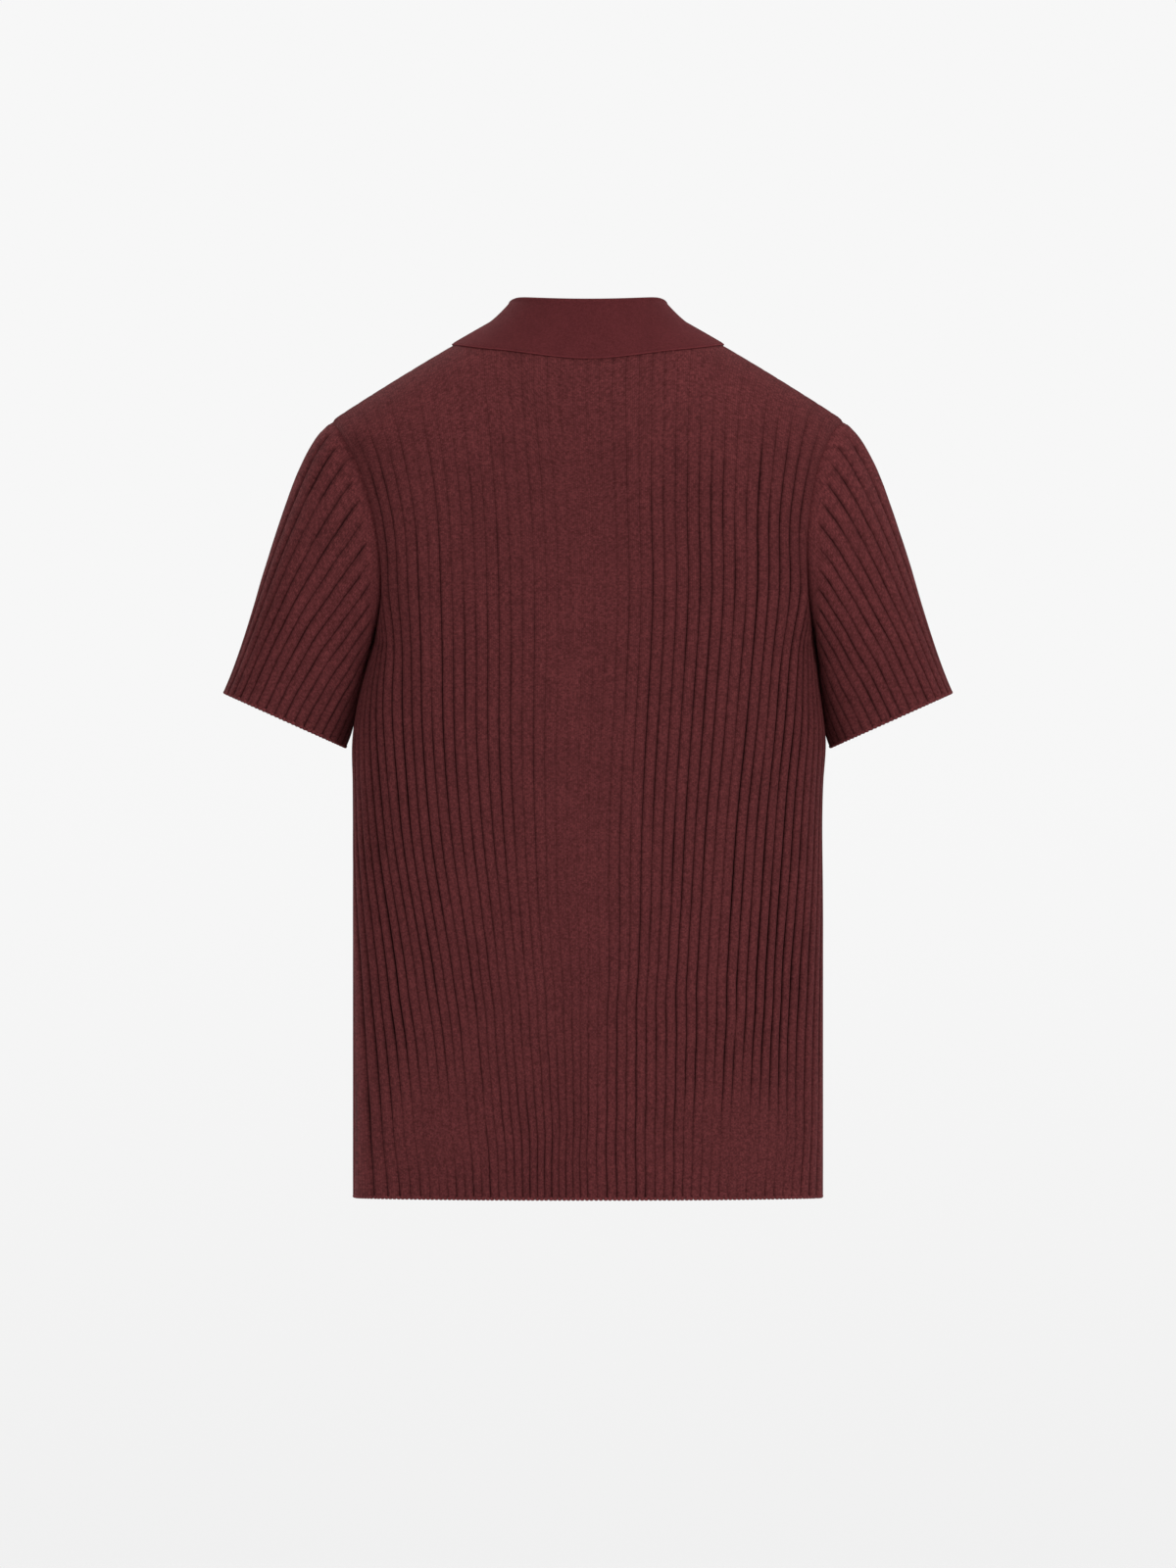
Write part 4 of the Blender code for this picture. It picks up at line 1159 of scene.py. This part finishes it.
def make_panel(face, knit):
    name = face_name(face)
    ribs = MIDDLE_RIBS[face] + 2 * SIDE_RIBS
    base, body_rows, first, last = panel_grid(face)
    x, z, middle = base[..., 0], base[..., 2], slice(first, last + 1)
    normals = np.zeros_like(base)
    normals[:body_rows] = grid_normals(base[:body_rows], -face)
    normals[body_rows - 1 :, middle] = grid_normals(base[:, middle], -face)[body_rows - 1 :]
    shares, shape = rib_columns(ribs)
    depth = groove_depth(ribs, len(base), SEEDS["body grooves"] + face)
    depth = depth * (LEAST_GROOVE + (1 - LEAST_GROOVE) * flatness(face, x, z))
    # These heights shape the ribs and also set the shade painted into the grooves
    heights = 1 - (1 - shape) * np.clip(depth, 0, DEEPEST_GROOVE)
    seams = [make(side) for make in (armhole_seam, side_seam, shoulder_seam) for side in (LEFT, RIGHT)]
    pressed = crease_depth(CREASES[face], x, z)
    outer, inner, shade = knit_faces(base, normals, heights, pressed, seams, knit)
    present = np.ones((len(base) - 1, ribs), bool)
    present[body_rows - 1 :, :SIDE_RIBS] = False
    present[body_rows - 1 :, -SIDE_RIBS:] = False
    grids = outer, inner[:, ::COLUMNS_A_RIB], present
    places = shares * ribs * knit.wales, stitch_count(base[:, middle], 0, knit.course)
    cloth = once(bpy.data.materials, "Ribbed knit cloth", knit_material, knit, BODY_LOOK)
    mesh = cloth_mesh(name + "_cloth", *grids, *places, shade, cloth, COLUMNS_A_RIB)
    obj = add_piece(name + "_cloth", mesh, "ribbed_knit", name)
    hems[face] = (outer[0] + inner[0]) / 2 + (0, 0, HEM_LIFT)
    top = (outer[-1, middle] + inner[-1, middle]) / 2
    necks[face] = top[np.abs(top[:, 0]) < NECK_HALF_WIDTH]


class SHIRT_OT_sleeves(bpy.types.Operator):
    """Knit the two sleeves"""

    bl_idname = "shirt.sleeves"
    bl_label = "Sleeves"

    def execute(self, context):
        for side in (LEFT, RIGHT):
            make_sleeve(side, context.scene.shirt_knit)
        return {"FINISHED"}


def make_sleeve(side, knit):
    name = "sleeve_" + side_name(side)
    base, normals, clear = sleeve_grid(side)
    shares, shape = rib_columns(SLEEVE_RIBS)
    depth = groove_depth(SLEEVE_RIBS, len(base), SEEDS["sleeve grooves"] + side, ring=True)
    # These heights shape the ribs and also set the shade painted into the grooves, also where ribs have ended
    heights = (1 - (1 - shape) * depth) * smooth(np.clip(clear / SLEEVE_END_RIBS, 0, 1))
    pressed = crease_depth(SLEEVE_CREASES, shares, sleeve_levels()[:, None])
    outer, inner, shade = knit_faces(base, normals, heights, pressed, [armhole_seam(side)], knit, SLEEVE_BAND)
    outer, inner, shade = outer[:, :-1], inner[:, :-1:COLUMNS_A_RIB], shade[:, :-1]
    present = np.ones((len(base) - 1, SLEEVE_RIBS), bool)
    places = shares * SLEEVE_RIBS * knit.wales, stitch_count(base, 0, knit.course)
    cloth = once(bpy.data.materials, "Ribbed knit cloth", knit_material, knit, BODY_LOOK)
    mesh = cloth_mesh(
        name + "_cloth", outer, inner, present, *places, shade, cloth, COLUMNS_A_RIB, ring=True
    )
    obj = add_piece(name + "_cloth", mesh, "ribbed_knit", name)
    lining = np.repeat(inner[-1], COLUMNS_A_RIB, axis=0)
    cuffs[side] = outer[-1] * CUFF_PLACE + lining * (1 - CUFF_PLACE)


class SHIRT_OT_collar(bpy.types.Operator):
    """Knit the collar and fold it over"""

    bl_idname = "shirt.collar"
    bl_label = "Collar"

    def execute(self, context):
        make_collar(context.scene.shirt_collar)
        return {"FINISHED"}


def over_body(x, y, standoff):
    """Points this far off the cloth of the shoulders, above the places x, y in plan."""
    nudge = 0.001

    def height(at_x, at_y):
        over_back, over_front = (shoulder_height(face, np.abs(at_x), np.abs(at_y)) for face in (BACK, FRONT))
        return np.where(y > 0, over_back, over_front)

    level = height(x, y)
    run = (height(np.abs(x) + nudge, y) - level) / nudge
    rise = (height(x, np.abs(y) + nudge) - level) / nudge
    return np.stack([x, y, level + standoff * np.sqrt(1 + run**2 + rise**2)], axis=-1)


def by_face(table, y):
    return np.where(y > 0, table[BACK], table[FRONT])


def collar_strip():
    """The middle of the collar's cloth: rows up the stand, over the fold and down the fall, each from the
    front right end round the back of the neck to the front left end."""
    up = np.array([0.0, 0.0, 1.0])
    turn = np.linspace(np.pi - COLLAR_END_TURN, COLLAR_END_TURN, COLLAR_STATIONS)
    x, y = np.cos(turn), np.sin(turn)
    foot = over_body(NECK_HALF_WIDTH * x, by_face(NECK_DEPTH, y) * y, 0.0)
    edge = over_body(FALL_HALF_WIDTH * x, by_face(FALL_DEPTH, y) * y, FALL_STANDOFF)
    fold_depth = by_face(FOLD_DEPTH, y)
    corner, sudden = FOLD_CORNER
    fold_height = FOLD_HEIGHT - by_face(FOLD_DROP, y) * y * y - corner * np.abs(x) ** sudden
    top = np.stack([FOLD_HALF_WIDTH * x, fold_depth * y, fold_height], axis=-1)
    side = unit(np.stack([x * fold_depth, y * FOLD_HALF_WIDTH, 0 * x], axis=-1))
    centre = top - FOLD_RADIUS * (up + side)
    inner, outer = centre - FOLD_RADIUS * side, centre + FOLD_RADIUS * side
    foot += COLLAR_LIFT * unit(inner - foot)
    rows = [foot + (inner - foot) * k / STAND_STEPS for k in range(STAND_STEPS)]
    for bend in np.linspace(0, np.pi, FOLD_STEPS):
        rows.append(centre - FOLD_RADIUS * math.cos(bend) * side + FOLD_RADIUS * math.sin(bend) * up)
    flare, fall = (middle + (sides - middle) * x[:, None] ** 2 for middle, sides in (FALL_FLARE, FALL_FALL))
    pull = outer + (side * flare - up * fall) * (outer[:, 2] - edge[:, 2])[:, None]
    for t in np.linspace(0, 1, FALL_STEPS + 1)[1:]:
        point = outer * (1 - t) ** 2 + 2 * pull * t * (1 - t) + edge * t * t
        point[:, 2] = np.maximum(point[:, 2], over_body(point[:, 0], point[:, 1], FALL_STANDOFF)[:, 2])
        rows.append(point)
    return np.array(rows)


def make_collar(collar):
    strip = collar_strip()
    half = np.full(strip.shape[:2], collar.wall / 2)
    half[-1] *= COLLAR_EDGE
    half[:, [0, -1]] *= COLLAR_EDGE
    away = half[..., None] * grid_normals(strip, -1)
    present = np.ones((half.shape[0] - 1, half.shape[1] - 1), bool)
    places = stitch_count(strip, 1, collar.stitch), stitch_count(strip, 0, collar.stitch * COURSE_SHARE)
    cloth = once(bpy.data.materials, "Fine knit collar", knit_material, collar, COLLAR_LOOK)
    grids = strip + away, strip - away, present
    mesh = cloth_mesh("collar_cloth", *grids, *places, np.ones(half.shape), cloth)
    obj = add_piece("collar_cloth", mesh, "collar_knit", "collar")
    ends = strip[FOLD_STEPS:, 0], strip[FOLD_STEPS:, -1][::-1]
    collar_edges.append(np.concatenate([ends[0], strip[-1, 1:-1], ends[1]]))


class SHIRT_OT_edges(bpy.types.Operator):
    """Bind off the hem, cuffs, neck opening and collar with small loops"""

    bl_idname = "shirt.edges"
    bl_label = "Bound-off edges"

    def execute(self, context):
        edge, collar = context.scene.shirt_edge, context.scene.shirt_collar
        sizes = (edge.step, edge.step * LOOP_OVERLAP, edge.loop * LOOP_WIDTH, edge.loop)
        yarn = once(bpy.data.materials, "Seam yarn", yarn_material, context.scene.shirt_knit)
        hem = np.concatenate([hems[BACK], hems[FRONT][::-1]])
        rings = {"hem_edge": hem, "cuff_edge_left": cuffs[LEFT], "cuff_edge_right": cuffs[RIGHT]}
        for name, line in rings.items():
            loops_along(name, line, True, sizes, yarn, "ribbed_knit")
        loops_along("neck_edge", necks[FRONT], False, sizes, yarn, "ribbed_knit")
        sizes = np.multiply(COLLAR_LOOP, (collar.stitch, collar.stitch, collar.wall, collar.wall)).tolist()
        yarn = once(bpy.data.materials, "Collar yarn", yarn_material, collar)
        loops_along("collar_edge", collar_edges[-1], False, sizes, yarn, "collar_knit")
        return {"FINISHED"}


class SHIRT_OT_seams(bpy.types.Operator):
    """Link the pieces together with a line of stitches along each seam"""

    bl_idname = "shirt.seams"
    bl_label = "Linked seams"

    def execute(self, context):
        stitch = context.scene.shirt_edge.linking
        sizes = (stitch, stitch * LINKING_OVERLAP, LINKING_WIDTH, LINKING_HEIGHT)
        yarn = once(bpy.data.materials, "Seam yarn", yarn_material, context.scene.shirt_knit)
        for side in (LEFT, RIGHT):
            for kind, make in (("armhole", armhole_seam), ("side", side_seam), ("shoulder", shoulder_seam)):
                points, directions = make(side)
                line = points - directions * (SEAM_DIP * SEAM_SINK)
                name = f"{kind}_stitches_{side_name(side)}"
                loops_along(name, line, kind == "armhole", sizes, yarn, "ribbed_knit")
        return {"FINISHED"}


# ---------------------------------------------------------------- the studio


class SHIRT_OT_stage(bpy.types.Operator):
    """Set up the floor, the soft lights, the background and the camera"""

    bl_idname = "shirt.stage"
    bl_label = "Studio"

    def execute(self, context):
        studio = context.scene.shirt_studio
        make_camera(studio)
        make_lights(studio)
        make_background(studio)
        make_floor()
        context.scene.view_settings.view_transform = "Standard"
        return {"FINISHED"}


def make_camera(studio):
    camera = bpy.data.cameras.new("Camera")
    camera.sensor_width = SENSOR
    camera.lens = SENSOR * studio.distance / (PICTURE[1] * studio.pixel)
    camera.clip_end = 100.0
    obj = show("Camera", camera)
    obj.location = (0.0, studio.distance, (ORIGIN_ROW - HORIZON_ROW) * studio.pixel)
    obj.rotation_euler = (math.radians(90), 0.0, math.radians(180))
    bpy.context.scene.camera = obj


def make_lights(studio):
    for name, x, y, z, size, share in zip(*LIGHTS.values()):
        light = bpy.data.lights.new(name, "AREA")
        light.shape = "SQUARE"
        light.size = size
        light.energy = studio.key * share
        obj = show(name, light)
        obj.location = (x, y, z)
        obj.rotation_euler = (Vector(LIGHTS_AIM) - obj.location).to_track_quat("-Z", "Y").to_euler()


def make_background(studio):
    """A pale background, a little darker below the horizon, and an even light from all round, less from
    below."""
    world = bpy.data.worlds.new("Studio")
    bpy.context.scene.world = world
    world.use_nodes = True
    tree = world.node_tree
    tree.nodes.clear()
    place = new_node(tree, "ShaderNodeTexCoord", (-900, 0)).outputs["Generated"]
    height = new_node(tree, "ShaderNodeSeparateXYZ", (-700, 0), {0: place}).outputs["Z"]
    shaders = []
    kinds = (-200, LIT_FADE, LIT_TONE, studio.fill), (100, SEEN_FADE, SEEN_TONE, studio.background)
    for y, ranges, tone, bright in kinds:
        share = ramp_node(tree, (-500, y), height, ranges)
        strength = math_node(tree, "MULTIPLY", (-350, y), share, bright)
        inputs = {"Color": (tone, tone, tone, 1.0), "Strength": strength}
        shaders.append(new_node(tree, "ShaderNodeBackground", (-200, y), inputs).outputs[0])
    seen = new_node(tree, "ShaderNodeLightPath", (-200, 400)).outputs["Is Camera Ray"]
    mix = new_node(tree, "ShaderNodeMixShader", (100, 0), {"Fac": seen, 1: shaders[0], 2: shaders[1]})
    new_node(tree, "ShaderNodeOutputWorld", (300, 0), {"Surface": mix.outputs[0]})


def make_floor():
    """A pale round floor that fades out at its rim."""
    radius, level = FLOOR["radius"], FLOOR["height"]
    angle = np.linspace(0, 2 * np.pi, FLOOR["sides"], endpoint=False)
    mesh = bpy.data.meshes.new("floor")
    rim = [(radius * math.cos(a), radius * math.sin(a), level) for a in angle]
    mesh.from_pydata(rim, [], [range(len(rim))])
    finish = {"Base Color": (0.9, 0.9, 0.9, 1.0), "Roughness": 0.9, "Specular IOR Level": 0.1}
    material, tree, shader = new_material("Pale floor", finish)
    place = new_node(tree, "ShaderNodeTexCoord", (-800, 0)).outputs["Object"]
    inputs = {0: place, 1: (1.0, 1.0, 0.0)}
    level_place = new_node(tree, "ShaderNodeVectorMath", (-600, 0), inputs, operation="MULTIPLY").outputs[0]
    away = new_node(tree, "ShaderNodeVectorMath", (-400, 0), {0: level_place}, operation="LENGTH")
    ranges = (FLOOR["clear"], radius, 1.0, 0.0)
    fill(tree, shader, {"Alpha": ramp_node(tree, (-200, 0), away.outputs["Value"], ranges, "SMOOTHERSTEP")})
    mesh.materials.append(material)
    obj = show("floor", mesh)
    obj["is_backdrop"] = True


# ---------------------------------------------------------------- the add-on


class SHIRT_PT_panel(bpy.types.Panel):
    """The shirt's sizes, colours and pieces"""

    bl_label = "Knit shirt"
    bl_idname = "SHIRT_PT_panel"
    bl_space_type = "VIEW_3D"
    bl_region_type = "UI"
    bl_category = "Knit shirt"

    def draw(self, context):
        for group in SETTINGS:
            settings = getattr(context.scene, group)
            for name in settings.__annotations__:
                self.layout.prop(settings, name)
        for operator in OPERATORS:
            self.layout.operator(operator.bl_idname)


SETTINGS = {
    "shirt_knit": KnitSettings,
    "shirt_collar": CollarSettings,
    "shirt_edge": EdgeSettings,
    "shirt_studio": StudioSettings,
}
OPERATORS = (
    SHIRT_OT_panels,
    SHIRT_OT_sleeves,
    SHIRT_OT_collar,
    SHIRT_OT_edges,
    SHIRT_OT_seams,
    SHIRT_OT_stage,
)


def register():
    for made in (*SETTINGS.values(), *OPERATORS, SHIRT_PT_panel):
        bpy.utils.register_class(made)
    for name, group in SETTINGS.items():
        setattr(bpy.types.Scene, name, PointerProperty(type=group))


def unregister():
    for name in SETTINGS:
        delattr(bpy.types.Scene, name)
    for made in reversed((*SETTINGS.values(), *OPERATORS, SHIRT_PT_panel)):
        bpy.utils.unregister_class(made)


def corners():
    return [[float(value) for value in corner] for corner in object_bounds()]


def main():
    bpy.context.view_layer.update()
    register()
    bpy.ops.shirt.panels()
    bpy.ops.shirt.sleeves()
    bpy.ops.shirt.collar()
    bpy.ops.shirt.edges()
    bpy.ops.shirt.seams()
    bpy.ops.shirt.stage()


if __name__ == "__main__":
    main()
